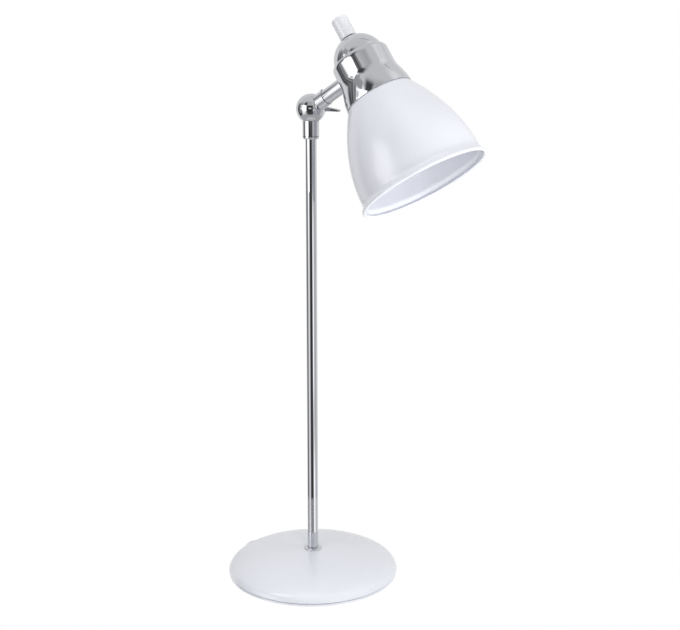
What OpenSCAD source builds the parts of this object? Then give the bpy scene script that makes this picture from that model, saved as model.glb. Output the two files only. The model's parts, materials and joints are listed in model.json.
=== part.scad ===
// Swing arm desk lamp: a weighted round base, a slim pole, a split ball joint on a swivel
// and a short arm that carries a bell shade. Millimetres, +Z up.
// The origin is the middle of the base on the desk. The arm and the shade point along +X.

/* [Base] */
// Diameter of the base
base_d = 160; // [130:1:220]
// Height of the base at its middle
base_h = 23; // [21:0.5:40]
// Wall of the base shell
base_wall = 1.2; // [0.8:0.1:1.6]
// How squarely the dome falls away from its middle
dome_fall = 1.7; // [1.5:0.1:2.4]
// How steeply the dome ends at its edge
dome_edge = 2.7; // [2.2:0.1:3.2]
// Height of the shell's lower edge above the desk
shell_edge_z = 3.4; // [3.2:0.1:4.5]
// Thickness of the foam pad
pad_t = 1.5; // [1:0.1:1.6]
// Distance from the edge of the base to the edge of the pad
pad_margin = 6; // [4:0.5:15]
// How far the plate's lip stands back from the edge of the base
lip_inset = 0.6; // [0.3:0.1:1.5]
// Height of the lip's underside above the desk
lip_z = 0.6; // [0.3:0.1:0.9]
// Thickness of the bottom plate
plate_t = 1.2; // [1:0.1:1.5]
// Distance from the edge of the base to the edge of the cast weight
weight_margin = 10; // [8:0.5:25]
// Diameter of the weight's raised middle
weight_step_d = 104; // [60:1:110]
// Diameter of the boss under the shell's middle
weight_boss_d = 24; // [22:1:40]
// Diameter of the recess for the pole's nut
recess_d = 26; // [24:1:40]
// Height of the recess's ceiling above the desk
recess_z = 12; // [11.5:0.1:13]
// Width of the cord's channel in the weight
channel_w = 9; // [7:0.5:14]
// Number of screws that hold the plate to the weight
plate_screw_n = 3; // [3:1:6]
// Radius of the circle of plate screws
plate_screw_r = 45; // [30:1:60]
// Diameter of a plate screw's thread
plate_screw_d = 3; // [2.5:0.1:4]
// Length of a plate screw
plate_screw_l = 7.5; // [5:0.5:8]
// Bore of the cord inlet
inlet_bore_d = 6.2; // [5:0.1:6.6]
// Outside diameter of the inlet's bush
inlet_d = 8.4; // [7.8:0.1:8.8]
// Height of the inlet's middle above the desk
inlet_z = 7.8; // [7.6:0.1:9]
// How far the inlet's bush stands out of the shell
inlet_proud = 1; // [0.5:0.1:2]

/* [Pole] */
// Diameter of the pole
pole_d = 10; // [8:0.5:12]
// Wall of the pole
pole_wall = 1.2; // [1:0.1:1.6]
// Height of the pole's foot above the desk
pole_foot_z = 6.2; // [5:0.1:6.6]
// Diameter of the rosette at the pole's foot
rosette_d = 17.2; // [15:0.1:30]
// Height of the rosette
rosette_h = 1.7; // [1:0.1:4]
// Size of the pole's nut across its flats
pole_nut_af = 14; // [14:0.5:19]
// Height of the pole's nut
pole_nut_h = 4; // [3:0.1:4.2]
// Outside diameter of the pole's washer
pole_washer_d = 20; // [18:0.5:23]
// Thickness of the pole's washer
pole_washer_t = 1.2; // [1:0.1:1.4]

/* [Ball joint] */
// Height of the ball's centre above the desk
ball_z = 436; // [300:1:600]
// Diameter of the ball
ball_d = 26; // [24:0.5:32]
// Wall of the ball's hollow halves
ball_wall = 3.4; // [3:0.1:3.8]
// Gap between the ball's two halves
split_gap = 0.4; // [0.3:0.05:0.8]
// Gap between a half's socket and the other half's ball
socket_gap = 0.35; // [0.3:0.05:0.6]
// Diameter of the neck under the ball
neck_d = 14.8; // [14:0.1:17]
// Distance from the ball's centre to the neck's lower end
neck_l = 24.1; // [22:0.1:40]
// Height of the ring that carries the neck
ring_h = 2; // [1.6:0.1:4]
// Height of the groove between the neck and its ring
ring_groove_h = 0.45; // [0.3:0.05:0.8]
// Depth of the groove between the neck and its ring
ring_groove_depth = 0.9; // [0.5:0.1:1.2]
// How far the pole reaches into the neck
pole_in_neck = 9; // [7:0.1:9.4]
// Running clearance between the neck and the pole
swivel_clearance = 0.05; // [0.02:0.01:0.1]
// Diameter of the passage for the wires
wire_d = 7; // [5:0.1:7.4]
// Diameter of the boss round the clamp screw
clamp_boss_d = 11; // [10:0.1:11.6]
// Diameter of the clamp screw's thread
clamp_d = 5; // [4:0.1:6]
// Clearance between the clamp screw and the moving half
clamp_clearance = 0.3; // [0.2:0.05:0.6]
// Thickness of the friction disc
friction_t = 1; // [0.8:0.1:2]
// Distance from the ball's centre to the washer's seat
clamp_seat = 12; // [11.4:0.1:12.4]
// Thickness of the washer under the wing screw
clamp_washer_t = 0.8; // [0.5:0.1:1.5]
// Diameter of the washer under the wing screw
clamp_washer_d = 9.6; // [8:0.1:12]
// Turn of the tilt joint below its rest place, in degrees
tilt_down = 30; // [10:1:32]
// Turn of the tilt joint above its rest place, in degrees
tilt_up = 60; // [10:1:70]
// Turn of the swivel to each side, in degrees
pan_turn = 160; // [45:1:160]

/* [Wing screw] */
// Diameter of the wing screw's hub
hub_d = 9; // [8:0.1:12]
// Length of the wing screw's hub
hub_l = 7; // [5:0.5:10]
// Distance from the screw's axis to the middle of an ear's tip
ear_reach = 13.6; // [11:0.1:18]
// Distance from the hub's foot to the middle of an ear's tip
ear_rise = 8.4; // [6:0.1:12]
// Radius of an ear's tip
ear_tip_r = 3.2; // [2.5:0.1:4]
// Thickness of an ear at the hub
ear_root_t = 5.6; // [3:0.1:7]
// Thickness of an ear at its tip
ear_tip_t = 3; // [2:0.1:4]
// How far the ears hang below the level, in degrees
ear_droop = 8; // [0:1:90]

/* [Arm] */
// Diameter of the arm's sleeve
sleeve_d = 14.6; // [14.4:0.1:16]
// Distance from the ball's centre to the sleeve's end
sleeve_end = 20; // [18:0.5:30]
// Distance from the ball's centre to the arm's end in the sleeve
arm_start = 13.8; // [13.5:0.1:16]
// Diameter of the arm
arm_d = 13.2; // [11:0.1:13.4]
// Wall of the arm
arm_wall = 1; // [0.8:0.1:2]
// Distance from the ball's centre to the shade's axis
arm_l = 66.8; // [60:0.1:120]
// Slope of the arm above the level, in degrees
arm_rise = 31; // [20:1:45]
// Diameter of the sleeve's set screw
set_screw_d = 3; // [2:0.1:4]
// How far the set screw stands out of the sleeve
set_screw_proud = 0.9; // [0.3:0.1:1.5]
// Size of the arm's nut across its flats
arm_nut_af = 16; // [15.6:0.1:17]
// Height of the arm's nut
arm_nut_h = 3.2; // [2:0.1:3.6]
// Distance from the shade's axis to the arm's end
arm_end_gap = 14; // [13.8:0.1:14.4]

/* [Cap] */
// Lean of the shade's axis from straight down, in degrees
shade_lean = 33; // [20:1:45]
// Diameter of the cap's dome
dome_d = 45.2; // [42:0.1:47]
// Height of the dome's centre above the arm's axis
dome_centre_h = 8.4; // [6:0.1:12]
// Height of the step under the dome above the arm's axis
step_h = 11.8; // [11:0.1:14]
// Height of the rounded shoulder under the step
shoulder_h = 4.6; // [3:0.1:5]
// Diameter of the cap's body
cap_d = 51; // [48:0.1:60]
// Depth of the body's foot below the arm's axis
body_drop = 8.7; // [8:0.1:12]
// Depth of the skirt's edge below the arm's axis
skirt_drop = 27.6; // [24:0.1:40]
// How quickly the skirt flares
skirt_flare = 1.55; // [1.2:0.05:2.5]
// Share of the skirt's drop that the fillet of the cap's waist takes
waist_share = 0.18; // [0.05:0.01:0.3]
// Wall of the cap
cap_wall = 0.9; // [0.6:0.1:1.2]

/* [Shade] */
// Diameter of the shade where the cap ends
shade_top_d = 58.6; // [54:0.1:70]
// Diameter of the shade above its rim
shade_low_d = 109.6; // [90:0.1:140]
// Depth of the bell's foot below the arm's axis
bell_drop = 105.4; // [90:0.1:140]
// How quickly the bell swells
bell_swell = 2; // [1.5:0.05:2.5]
// Height of the flare above the rim
flare_h = 4.4; // [3:0.1:8]
// Diameter of the rolled rim along its middle
rim_d = 112.9; // [92:0.1:145]
// Radius of the rolled rim
rim_r = 1.6; // [1.2:0.1:2]
// Wall of the shade
shade_wall = 0.9; // [0.6:0.1:1.1]
// Gap between the shade's neck and the cap's skirt
neck_gap = 0.6; // [0.3:0.1:1]
// Depth of the shade's top plate below the arm's axis
shade_plate_drop = 21.9; // [20:0.1:24]

/* [Switch and knob] */
// Diameter of the switch
switch_d = 24; // [20:0.1:25]
// Height of the switch's top above the arm's axis
switch_top_h = 25.2; // [24:0.1:25.4]
// Height of the switch's foot above the arm's axis
switch_foot_h = 6; // [2:0.1:12]
// Diameter of the switch's threaded bush
bush_d = 8; // [7:0.1:9]
// Size of the switch's nut across its flats
switch_nut_af = 10.4; // [10:0.1:10.8]
// Height of the switch's nut
switch_nut_h = 2; // [1.5:0.1:3]
// Diameter of the switch's spindle
spindle_d = 6; // [4:0.1:6.2]
// Diameter of the knob
knob_d = 14.8; // [14.4:0.1:20]
// Height of the knob
knob_h = 19; // [14:0.5:30]
// Radius of the knob's top edge
knob_round = 1.3; // [0.4:0.1:3]
// Running gap under the knob
knob_gap = 0.4; // [0.3:0.1:1]

/* [Lamp holder and bulb] */
// Diameter of the lamp holder
holder_d = 26; // [24:0.1:27]
// Diameter of the holder's threaded skirt
holder_thread_d = 28.4; // [27.6:0.1:30]
// Depth of the holder's mouth below the arm's axis
holder_drop = 46; // [42:0.5:52]
// Diameter of the holder's flange above the shade
holder_flange_d = 34; // [32:0.5:44]
// Thickness of the holder's flange
holder_flange_t = 2; // [1.5:0.1:3]
// Diameter of the ring that clamps the shade
shade_ring_d = 39; // [34:0.5:48]
// Height of the ring that clamps the shade
shade_ring_h = 5; // [3:0.5:10]
// Diameter of the bulb's screw cap
bulb_cap_d = 13.8; // [13.4:0.1:14]
// Length of the bulb's screw cap
bulb_cap_l = 21; // [18:0.5:24]
// Depth of the bulb's foot contact below the arm's axis
bulb_foot_drop = 21; // [19.5:0.1:22]
// Diameter of the bulb's glass
bulb_d = 45; // [35:0.5:50]
// Length of the bulb
bulb_l = 74; // [68:0.5:80]

/* [Hidden] */
$fn = 96;

// Clearances that pieces which are fastened together share
snug = 0.05;
seat_gap = 0.3;
// Reach of a cut past the face that it opens
past = 1;
// Least material left between a cut and the hollow beside it
land = 0.6;
// Steps of a long curve, of a bend and of a rounded edge
curve_n = 26;
bend_n = 12;
round_n = 6;

// Base
base_r = base_d / 2;
dome_foot_z = 1.7;
dome_top = base_h - dome_foot_z;
pad_r = base_r - pad_margin;
plate_top = pad_t + plate_t;
lip_r = base_r - lip_inset;
lip_round = 0.5;
// Head of a countersunk screw over its thread
head_ratio = 1.85;
weight_d = base_d - 2 * weight_margin;
inlet_reach = weight_margin - 2 * seat_gap;
rosette_seat = dome_height(pole_d / 2, 0);
rosette_chamfer = 0.5;

// Pole and swivel
pole_r = pole_d / 2;
neck_foot_z = ball_z - neck_l;
pole_top_z = neck_foot_z + pole_in_neck;
ring_chamfer = 1;
// The screw whose tip runs in a groove round the pole
stop_z = neck_foot_z + pole_in_neck / 2;
stop_tip_r = 0.9;
stop_body_r = 1.5;
stop_reach = 0.45;
groove_depth = 0.6;
groove_play = 0.15;
// Degrees that a stop's groove runs on past its last place
stop_slack = 1;
stop_angle = asin(stop_tip_r / (pole_r - stop_reach)) + stop_slack;

// Ball joint
ball_r = ball_d / 2;
cavity_r = ball_r - ball_wall;
// Where a neck or sleeve is rooted in its half's wall
root_reach = cavity_r + land;
// Where the wires' passages start, clear of the clamp screw's boss
passage_start = clamp_boss_d / 2 + land;
half_gap = split_gap / 2;
// The pin that is set in the fixed half and stands in the moving half's groove
pin_r = 0.8;
pin_circle_r = ball_r - ball_wall / 2;
pin_bed = 3.5;
pin_stand = 1.2;
pin_angle = asin(pin_r / pin_circle_r) + stop_slack;
thread_depth = 9.5;
disc_inset = 0.2;
disc_d = clamp_boss_d - 2 * disc_inset;

// Arm
arm_r = arm_d / 2;
set_screw_edge = 0.4;
set_screw_s = sleeve_end - set_screw_d / 2 - set_screw_edge;
arm_top_s = arm_l - arm_end_gap;
// How far the arm stands out of its nut, and the saddle washer out from under it
arm_proud = 0.8;
saddle_proud = 0.8;
// Distance from the shade's axis to the face that the nut bears on
nut_face = arm_end_gap + arm_proud + arm_nut_h;
saddle_r = arm_nut_af / 2 + saddle_proud;

// Head, with heights measured along the shade's axis from the arm's axis
dome_r = dome_d / 2;
// The flat on the dome's crown that the switch's nut bears on
crown_margin = 0.2;
crown_flat_r = switch_nut_af / 2 / cos(30) + crown_margin;
crown_h = dome_centre_h + sqrt(pow(dome_r, 2) - pow(crown_flat_r, 2));
// The knob, the room inside it for the nut and the bush, and the material over its spindle
knob_foot_h = crown_h + knob_gap;
knob_top_h = knob_foot_h + knob_h;
nut_room_h = 2.4;
knob_bore_foot_h = crown_h + switch_nut_h + nut_room_h;
knob_roof_t = 3;
bush_proud = 0.6;
bush_top_h = crown_h + switch_nut_h + bush_proud;
spindle_top_h = knob_top_h - knob_roof_t;
switch_floor_t = 4;
spindle_foot_h = switch_foot_h + switch_floor_t;
spindle_flat = 0.8;
spindle_play = 0.05;
// The cap's skirt ends round the shade, whose neck goes up inside it
skirt_d = shade_top_d + 2 * cap_wall;
shade_neck_r = shade_top_d / 2 - neck_gap;
shade_hole_r = holder_thread_d / 2 + snug;
shade_corner_r = 1.5;
rim_middle_h = -(bell_drop + flare_h + rim_r);
// Where the rolled rim starts and ends, in degrees, and how its flare curves
rim_start = 80;
rim_end = -165;
flare_curve = 1.6;
socket_play = 0.25;
socket_r = bulb_cap_d / 2 + socket_play;
socket_wall = 0.8;
contact_t = 1.2;
bulb_r = bulb_d / 2;
bulb_middle_h = -(bulb_foot_drop + bulb_l - bulb_r);
glass_step = 0.4;
bulb_neck_r = bulb_cap_d / 2 - glass_step;
// Where the glass's round end starts, in degrees above its widest place
glass_start = 52;
ring_seat_h = -(shade_plate_drop + shade_wall);

function arc(x, y, r, from, to, n) =
    [for (i = [0 : n]) let (a = from + (to - from) * i / n) [x + r * cos(a), y + r * sin(a)]];
function reversed(p) = [for (i = [len(p) - 1 : -1 : 0]) p[i]];

// Height of the dome at radius r, for a surface that lies inset inside the outer one
function dome_height(r, inset) = dome_foot_z
    + (dome_top - inset) * pow(1 - pow(r / (base_r - inset), dome_fall), 1 / dome_edge);

// The dome's outline from the pole's hole to the shell's lower edge
function dome_path(inset) = let (
        r = base_r - inset,
        top = dome_top - inset,
        from = asin(pow((pole_r + snug) / r, dome_fall / 2)),
        to = acos(pow((shell_edge_z - dome_foot_z) / top, dome_edge / 2)))
    [for (i = [0 : curve_n]) let (a = from + (to - from) * i / curve_n)
        [r * pow(sin(a), 2 / dome_fall), dome_foot_z + top * pow(cos(a), 2 / dome_edge)]];

// A point of the cap's skirt, at a share of its drop
function skirt_point(k, body_r, edge_r) = [
    body_r + (edge_r - body_r) * (1 - pow(1 - k, skirt_flare)),
    -body_drop - (skirt_drop - body_drop) * k];

// The cap's outline from its crown to its skirt's edge, for a surface that lies inset
function cap_path(inset) = let (
        r = dome_r - inset,
        step = step_h - inset,
        step_r = sqrt(pow(r, 2) - pow(step - dome_centre_h, 2)),
        body_r = cap_d / 2 - inset,
        edge_r = skirt_d / 2 - inset,
        crown = crown_h - inset,
        lead = (1 - pow(1 - waist_share, skirt_flare)) / pow(1 - waist_share, skirt_flare - 1)
            / skirt_flare * (skirt_drop - body_drop),
        waist_h = skirt_point(waist_share, body_r, edge_r)[1] + lead)
    concat(
        [[bush_d / 2 + snug, crown]],
        arc(0, dome_centre_h, r,
            asin((crown - dome_centre_h) / r), asin((step - dome_centre_h) / r), bend_n),
        [for (i = [1 : round_n]) let (a = 90 * i / round_n)
            [step_r + (body_r - step_r) * sin(a), step - (shoulder_h - inset) * (1 - cos(a))]],
        [for (i = [1 : bend_n - 1]) let (t = i / bend_n)
            pow(1 - t, 2) * [body_r, waist_h + lead] + 2 * t * (1 - t) * [body_r, waist_h]
                + pow(t, 2) * skirt_point(waist_share, body_r, edge_r)],
        [for (i = [0 : bend_n])
            skirt_point(waist_share + (1 - waist_share) * i / bend_n, body_r, edge_r)]);

// The shade's outline from its top hole to the start of its rolled rim, for an inset surface
function shade_path(inset) = let (
        plate = -shade_plate_drop - inset,
        neck = shade_neck_r - inset,
        corner = shade_corner_r,
        rim_r0 = rim_d / 2 + rim_r * cos(rim_start) - inset,
        rim_h0 = rim_middle_h + rim_r * sin(rim_start),
        low = shade_low_d / 2 - inset,
        top = shade_top_d / 2 - inset)
    concat(
        [[shade_hole_r, plate]],
        arc(neck - corner, plate - corner, corner, 90, 0, round_n),
        [[neck, -skirt_drop + shade_wall - inset / 2]],
        [for (i = [0 : curve_n]) let (k = i / curve_n)
            [top + (low - top) * (1 - pow(1 - k, bell_swell)),
             -skirt_drop - (bell_drop - skirt_drop) * k]],
        [for (i = [1 : round_n]) let (k = i / round_n)
            [low + (rim_r0 - low) * pow(k, flare_curve),
             -bell_drop + (rim_h0 + bell_drop) * k]]);

// Places along the arm (from the ball's centre) and along the shade's axis (from the arm)
module on_arm() {
    translate([0, 0, ball_z]) rotate([0, 90 - arm_rise, 0]) children();
}
module on_head() {
    translate([arm_l * cos(arm_rise), 0, ball_z + arm_l * sin(arm_rise)])
        rotate([0, -shade_lean, 0]) children();
}
// A tool's Z axis laid along +Y through the ball's centre
module on_clamp() {
    translate([0, 0, ball_z]) rotate([-90, 0, 0]) children();
}

module tube(d, wall, h) {
    difference() {
        cylinder(d = d, h = h);
        translate([0, 0, -past]) cylinder(d = d - 2 * wall, h = h + 2 * past);
    }
}
module hex_nut(af, h, bore_d) {
    difference() {
        cylinder(d = af / cos(30), h = h, $fn = 6);
        translate([0, 0, -past]) cylinder(d = bore_d, h = h + 2 * past);
    }
}
// A countersunk screw with its head's face at z = 0 and its shank upward
module plate_screw(grow) {
    head_r = plate_screw_d / 2 * head_ratio;
    cylinder(r1 = head_r + grow, r2 = plate_screw_d / 2 + grow, h = head_r - plate_screw_d / 2);
    cylinder(d = plate_screw_d + 2 * grow, h = plate_screw_l + grow);
}
module at_plate_screws() {
    for (i = [0 : plate_screw_n - 1])
        rotate([0, 0, 360 * (i + 0.5) / plate_screw_n]) translate([plate_screw_r, 0, pad_t]) children();
}

// Base
module base_pad() {
    color("#3a3a3c") cylinder(r = pad_r, h = pad_t);
}
module base_plate() {
    color("white") difference() {
        rotate_extrude() polygon(concat(
            [[0, pad_t], [pad_r + seat_gap, pad_t], [pad_r + seat_gap, lip_z]],
            arc(lip_r - lip_round, lip_z + lip_round, lip_round, -90, 0, round_n),
            arc(lip_r - lip_round, plate_top - lip_round, lip_round, 0, 90, round_n),
            [[0, plate_top]]));
        at_plate_screws() translate([0, 0, -snug]) plate_screw(snug);
    }
}
module plate_screws() {
    color("silver") at_plate_screws() plate_screw(0);
}
module base_weight() {
    step_z = dome_height(weight_d / 2, base_wall) - seat_gap;
    boss_foot_z = dome_height(weight_step_d / 2, base_wall) - seat_gap;
    boss_top_z = dome_height(weight_boss_d / 2, base_wall) - snug;
    color("dimgray") difference() {
        union() {
            translate([0, 0, plate_top]) cylinder(d = weight_d, h = step_z - plate_top);
            translate([0, 0, plate_top]) cylinder(d = weight_step_d, h = boss_foot_z - plate_top);
            translate([0, 0, plate_top]) cylinder(d = weight_boss_d, h = boss_top_z - plate_top);
        }
        translate([0, 0, plate_top - past]) cylinder(d = recess_d, h = recess_z - plate_top + past);
        cylinder(r = pole_r + snug, h = base_h);
        translate([-weight_d, -channel_w / 2, plate_top - past])
            cube([weight_d, channel_w, inlet_z + inlet_bore_d / 2 + past - plate_top]);
        at_plate_screws() plate_screw(snug);
    }
}
module base_shell() {
    color("white") difference() {
        rotate_extrude() polygon(concat(dome_path(0), reversed(dome_path(base_wall))));
        translate([-base_r - past, 0, inlet_z]) rotate([0, 90, 0])
            cylinder(d = inlet_d + 2 * snug, h = base_r / 2);
    }
}
module cord_inlet_bush() {
    color("#e8e8e6") intersection() {
        translate([-base_r - inlet_proud, 0, inlet_z]) rotate([0, 90, 0])
            tube(inlet_d, (inlet_d - inlet_bore_d) / 2, inlet_reach + inlet_proud);
        rotate_extrude() polygon(concat(
            [[0, base_h]], dome_path(-inlet_proud), [[0, shell_edge_z]]));
    }
}

// Pole
module pole() {
    color("lightgray") difference() {
        translate([0, 0, pole_foot_z]) tube(pole_d, pole_wall, pole_top_z - pole_foot_z);
        swivel_groove();
    }
}
// The groove that the stop screw runs in, which ends short of a full turn
module swivel_groove() {
    half = pan_turn + stop_angle;
    translate([0, 0, stop_z]) rotate([0, 0, 180 - half]) rotate_extrude(angle = 2 * half)
        translate([pole_r - groove_depth, -stop_tip_r - groove_play])
            square([groove_depth + past, 2 * (stop_tip_r + groove_play)]);
}
module base_rosette() {
    color("lightgray") translate([0, 0, rosette_seat]) rotate_extrude() polygon([
        [pole_r + snug, 0], [rosette_d / 2, 0],
        [rosette_d / 2, rosette_h - 2 * rosette_chamfer],
        [rosette_d / 2 - rosette_chamfer, rosette_h - rosette_chamfer],
        [pole_r + 2 * rosette_chamfer, rosette_h], [pole_r + snug, rosette_h]]);
}
module pole_washer() {
    color("silver") translate([0, 0, recess_z - pole_washer_t])
        tube(pole_washer_d, pole_washer_d / 2 - pole_r - snug, pole_washer_t);
}
module pole_nut() {
    color("goldenrod") translate([0, 0, recess_z - pole_washer_t - pole_nut_h])
        hex_nut(pole_nut_af, pole_nut_h, pole_d + 2 * snug);
}

// Ball joint
module swivel_ring() {
    color("lightgray") translate([0, 0, neck_foot_z - ring_groove_h - ring_h])
        rotate_extrude() polygon([
            [pole_r + snug / 2, 0], [neck_d / 2 - ring_chamfer, 0], [neck_d / 2, ring_chamfer],
            [neck_d / 2, ring_h], [neck_d / 2 - ring_groove_depth, ring_h],
            [neck_d / 2 - ring_groove_depth, ring_h + ring_groove_h],
            [pole_r + snug / 2, ring_h + ring_groove_h]]);
}
// One half of the hollow ball, on the side of the split plane that side names, +1 or -1
module ball_half(side, face) {
    turn = side > 0 ? 0 : 180;
    translate([0, 0, ball_z]) rotate([turn, 0, 0]) difference() {
        intersection() {
            union() {
                difference() {
                    sphere(r = ball_r);
                    sphere(r = cavity_r);
                }
                rotate([-90, 0, 0]) cylinder(d = clamp_boss_d, h = ball_r - ball_wall / 2);
            }
            translate([-ball_d, half_gap, -ball_d]) cube([2 * ball_d, face, 2 * ball_d]);
        }
        rotate([-90, 0, 0]) cylinder(d = clamp_boss_d + split_gap, h = friction_t / 2);
    }
}
// What a half's neck or sleeve has to leave free for the other half to turn in
module other_half(side) {
    translate([0, 0, ball_z]) intersection() {
        sphere(r = ball_r + socket_gap);
        translate([-ball_d, side > 0 ? -ball_d * 2 + half_gap : -half_gap, -ball_d])
            cube([2 * ball_d, 2 * ball_d, 2 * ball_d]);
    }
}
module knuckle_fixed_half() {
    color("lightgray") difference() {
        union() {
            ball_half(-1, ball_d);
            difference() {
                translate([0, 0, neck_foot_z]) cylinder(d = neck_d, h = neck_l - root_reach);
                other_half(-1);
            }
        }
        translate([0, 0, neck_foot_z - past])
            cylinder(r = pole_r + swivel_clearance, h = pole_in_neck + seat_gap + past);
        translate([0, 0, neck_foot_z]) cylinder(d = wire_d, h = neck_l - passage_start);
        on_clamp() translate([0, 0, -thread_depth]) cylinder(r = clamp_d / 2 + snug, h = thread_depth);
        on_clamp() translate([-pin_circle_r, 0, -pin_bed]) cylinder(r = pin_r + snug / 2, h = pin_bed);
        translate([0, 0, stop_z]) rotate([0, -90, 0]) cylinder(r = stop_body_r + snug / 2, h = neck_d);
    }
}
module swivel_stop_screw() {
    socket_d = 1.6;
    socket_depth = 1.2;
    color("dimgray") translate([0, 0, stop_z]) rotate([0, -90, 0]) difference() {
        union() {
            translate([0, 0, pole_r - stop_reach]) cylinder(r = stop_tip_r, h = neck_d / 2 - pole_r);
            translate([0, 0, pole_r + seat_gap])
                cylinder(r = stop_body_r, h = neck_d / 2 - pole_r - 2 * seat_gap);
        }
        translate([0, 0, neck_d / 2 - socket_depth])
            cylinder(d = socket_d / cos(30), h = 2 * past, $fn = 6);
    }
}
module tilt_stop_pin() {
    color("dimgray") on_clamp() translate([-pin_circle_r, 0, -pin_bed])
        cylinder(r = pin_r, h = pin_bed + pin_stand);
}
module friction_disc() {
    color("saddlebrown") on_clamp() translate([0, 0, -friction_t / 2])
        tube(disc_d, disc_d / 2 - clamp_d / 2 - clamp_clearance, friction_t);
}
// The groove in the moving half that the tilt stop pin runs in
module tilt_groove() {
    translate([0, 0, ball_z]) rotate([90, 0, 0]) rotate([0, 0, 180 - tilt_up - pin_angle])
        rotate_extrude(angle = tilt_up + tilt_down + 2 * pin_angle)
            translate([pin_circle_r - pin_r - groove_play, -pin_stand - seat_gap])
                square([2 * (pin_r + groove_play), pin_stand + seat_gap + past]);
}
module knuckle_moving_half() {
    color("lightgray") difference() {
        union() {
            ball_half(1, clamp_seat - half_gap);
            difference() {
                on_arm() translate([0, 0, root_reach]) cylinder(d = sleeve_d, h = sleeve_end - root_reach);
                other_half(1);
            }
        }
        on_arm() translate([0, 0, passage_start]) cylinder(d = wire_d, h = sleeve_end - passage_start);
        on_arm() translate([0, 0, arm_start]) cylinder(r = arm_r + snug, h = sleeve_end);
        on_arm() translate([0, 0, set_screw_s]) rotate([0, -90, 0])
            cylinder(d = set_screw_d + snug, h = sleeve_d);
        on_clamp() cylinder(r = clamp_d / 2 + clamp_clearance, h = ball_r);
        tilt_groove();
    }
}
module clamp_washer() {
    color("silver") on_clamp() translate([0, 0, clamp_seat])
        tube(clamp_washer_d, clamp_washer_d / 2 - clamp_d / 2 - clamp_clearance, clamp_washer_t);
}
// An ear of the wing screw toward +X: its outline across the screw, thinned toward its tip
module ear() {
    root = hub_d / 2 - past;
    root_inset = 1.4;
    lean = 28;
    half_root = ear_root_t / 2;
    half_tip = ear_tip_t / 2;
    end = ear_reach + ear_tip_r;
    intersection() {
        rotate([90, 0, 0]) linear_extrude(height = ear_root_t + past, center = true) polygon(concat(
            [[root, hub_l - root_inset], [root, root_inset]],
            arc(ear_reach, ear_rise, ear_tip_r, lean - 90, lean + 90, bend_n)));
        linear_extrude(height = ear_rise + ear_tip_r + past) polygon(concat(
            [[root, half_root], [root, -half_root]],
            arc(end - half_tip, 0, half_tip, -90, 90, round_n)));
    }
}
module wing_screw() {
    tip_gap = 0.6;
    bevel = 0.6;
    hub_r = hub_d / 2;
    color("lightgray") on_clamp() union() {
        translate([0, 0, tip_gap - thread_depth])
            cylinder(d = clamp_d, h = clamp_seat + clamp_washer_t + thread_depth - tip_gap + past);
        translate([0, 0, clamp_seat + clamp_washer_t]) {
            rotate_extrude() polygon([
                [0, 0], [hub_r, 0], [hub_r, hub_l - bevel], [hub_r - bevel, hub_l], [0, hub_l]]);
            for (turn = [0, 180]) rotate([0, 0, ear_droop + turn]) ear();
        }
    }
}

// Arm
module sleeve_set_screw() {
    screw_r = set_screw_d / 2;
    top = sleeve_d / 2 + set_screw_proud;
    bevel = 0.4;
    slot_w = 0.6;
    color("silver") on_arm() translate([0, 0, set_screw_s]) rotate([0, -90, 0]) difference() {
        rotate_extrude() polygon([
            [0, arm_r + snug], [screw_r, arm_r + snug],
            [screw_r, top - bevel], [screw_r - bevel, top], [0, top]]);
        translate([-screw_r - past, -slot_w / 2, top - bevel]) cube([set_screw_d + 2 * past, slot_w, past]);
    }
}
module arm_tube() {
    color("lightgray") on_arm() translate([0, 0, arm_start])
        tube(arm_d, arm_wall, arm_top_s - arm_start);
}
module cap_hollow() {
    rotate_extrude() polygon(concat(
        [[0, crown_h - cap_wall - snug]], cap_path(cap_wall + snug), [[0, -skirt_drop]]));
}
module arm_saddle_washer() {
    color("silver") difference() {
        intersection() {
            on_arm() translate([0, 0, arm_l - cap_d / 2])
                cylinder(r = saddle_r, h = cap_d / 2 - nut_face);
            on_head() cap_hollow();
        }
        on_arm() translate([0, 0, arm_l - cap_d]) cylinder(r = arm_r + snug, h = cap_d);
    }
}
module arm_nut() {
    color("goldenrod") on_arm() translate([0, 0, arm_l - nut_face])
        hex_nut(arm_nut_af, arm_nut_h, arm_d + 2 * snug);
}

// Head
module head_cap() {
    color("lightgray") difference() {
        on_head() rotate_extrude() polygon(concat(cap_path(0), reversed(cap_path(cap_wall))));
        on_arm() translate([0, 0, arm_l - cap_d])
            cylinder(r = arm_r + snug, h = cap_d - switch_d / 2);
    }
}
module shade() {
    color("white") on_head() rotate_extrude() polygon(concat(
        shade_path(0),
        arc(rim_d / 2, rim_middle_h, rim_r, rim_start, rim_end, bend_n),
        reversed(shade_path(shade_wall))));
}
module shade_ring() {
    color("whitesmoke") on_head() translate([0, 0, ring_seat_h - shade_ring_h])
        tube(shade_ring_d, shade_ring_d / 2 - shade_hole_r, shade_ring_h);
}
module lamp_holder() {
    wall = 4;
    floor_t = 5;
    floor_h = contact_t - bulb_foot_drop;
    chamber_floor_h = floor_h + floor_t;
    shell_r = socket_r + socket_wall + snug;
    color("whitesmoke") on_head() rotate_extrude() polygon([
        [holder_d / 2 - wall, switch_foot_h], [holder_d / 2 - wall, chamber_floor_h],
        [0, chamber_floor_h], [0, floor_h], [shell_r, floor_h], [shell_r, -holder_drop],
        [holder_thread_d / 2, -holder_drop], [holder_thread_d / 2, -shade_plate_drop],
        [holder_flange_d / 2, -shade_plate_drop],
        [holder_flange_d / 2, holder_flange_t - shade_plate_drop],
        [holder_d / 2, holder_flange_t - shade_plate_drop], [holder_d / 2, switch_foot_h]]);
}
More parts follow.
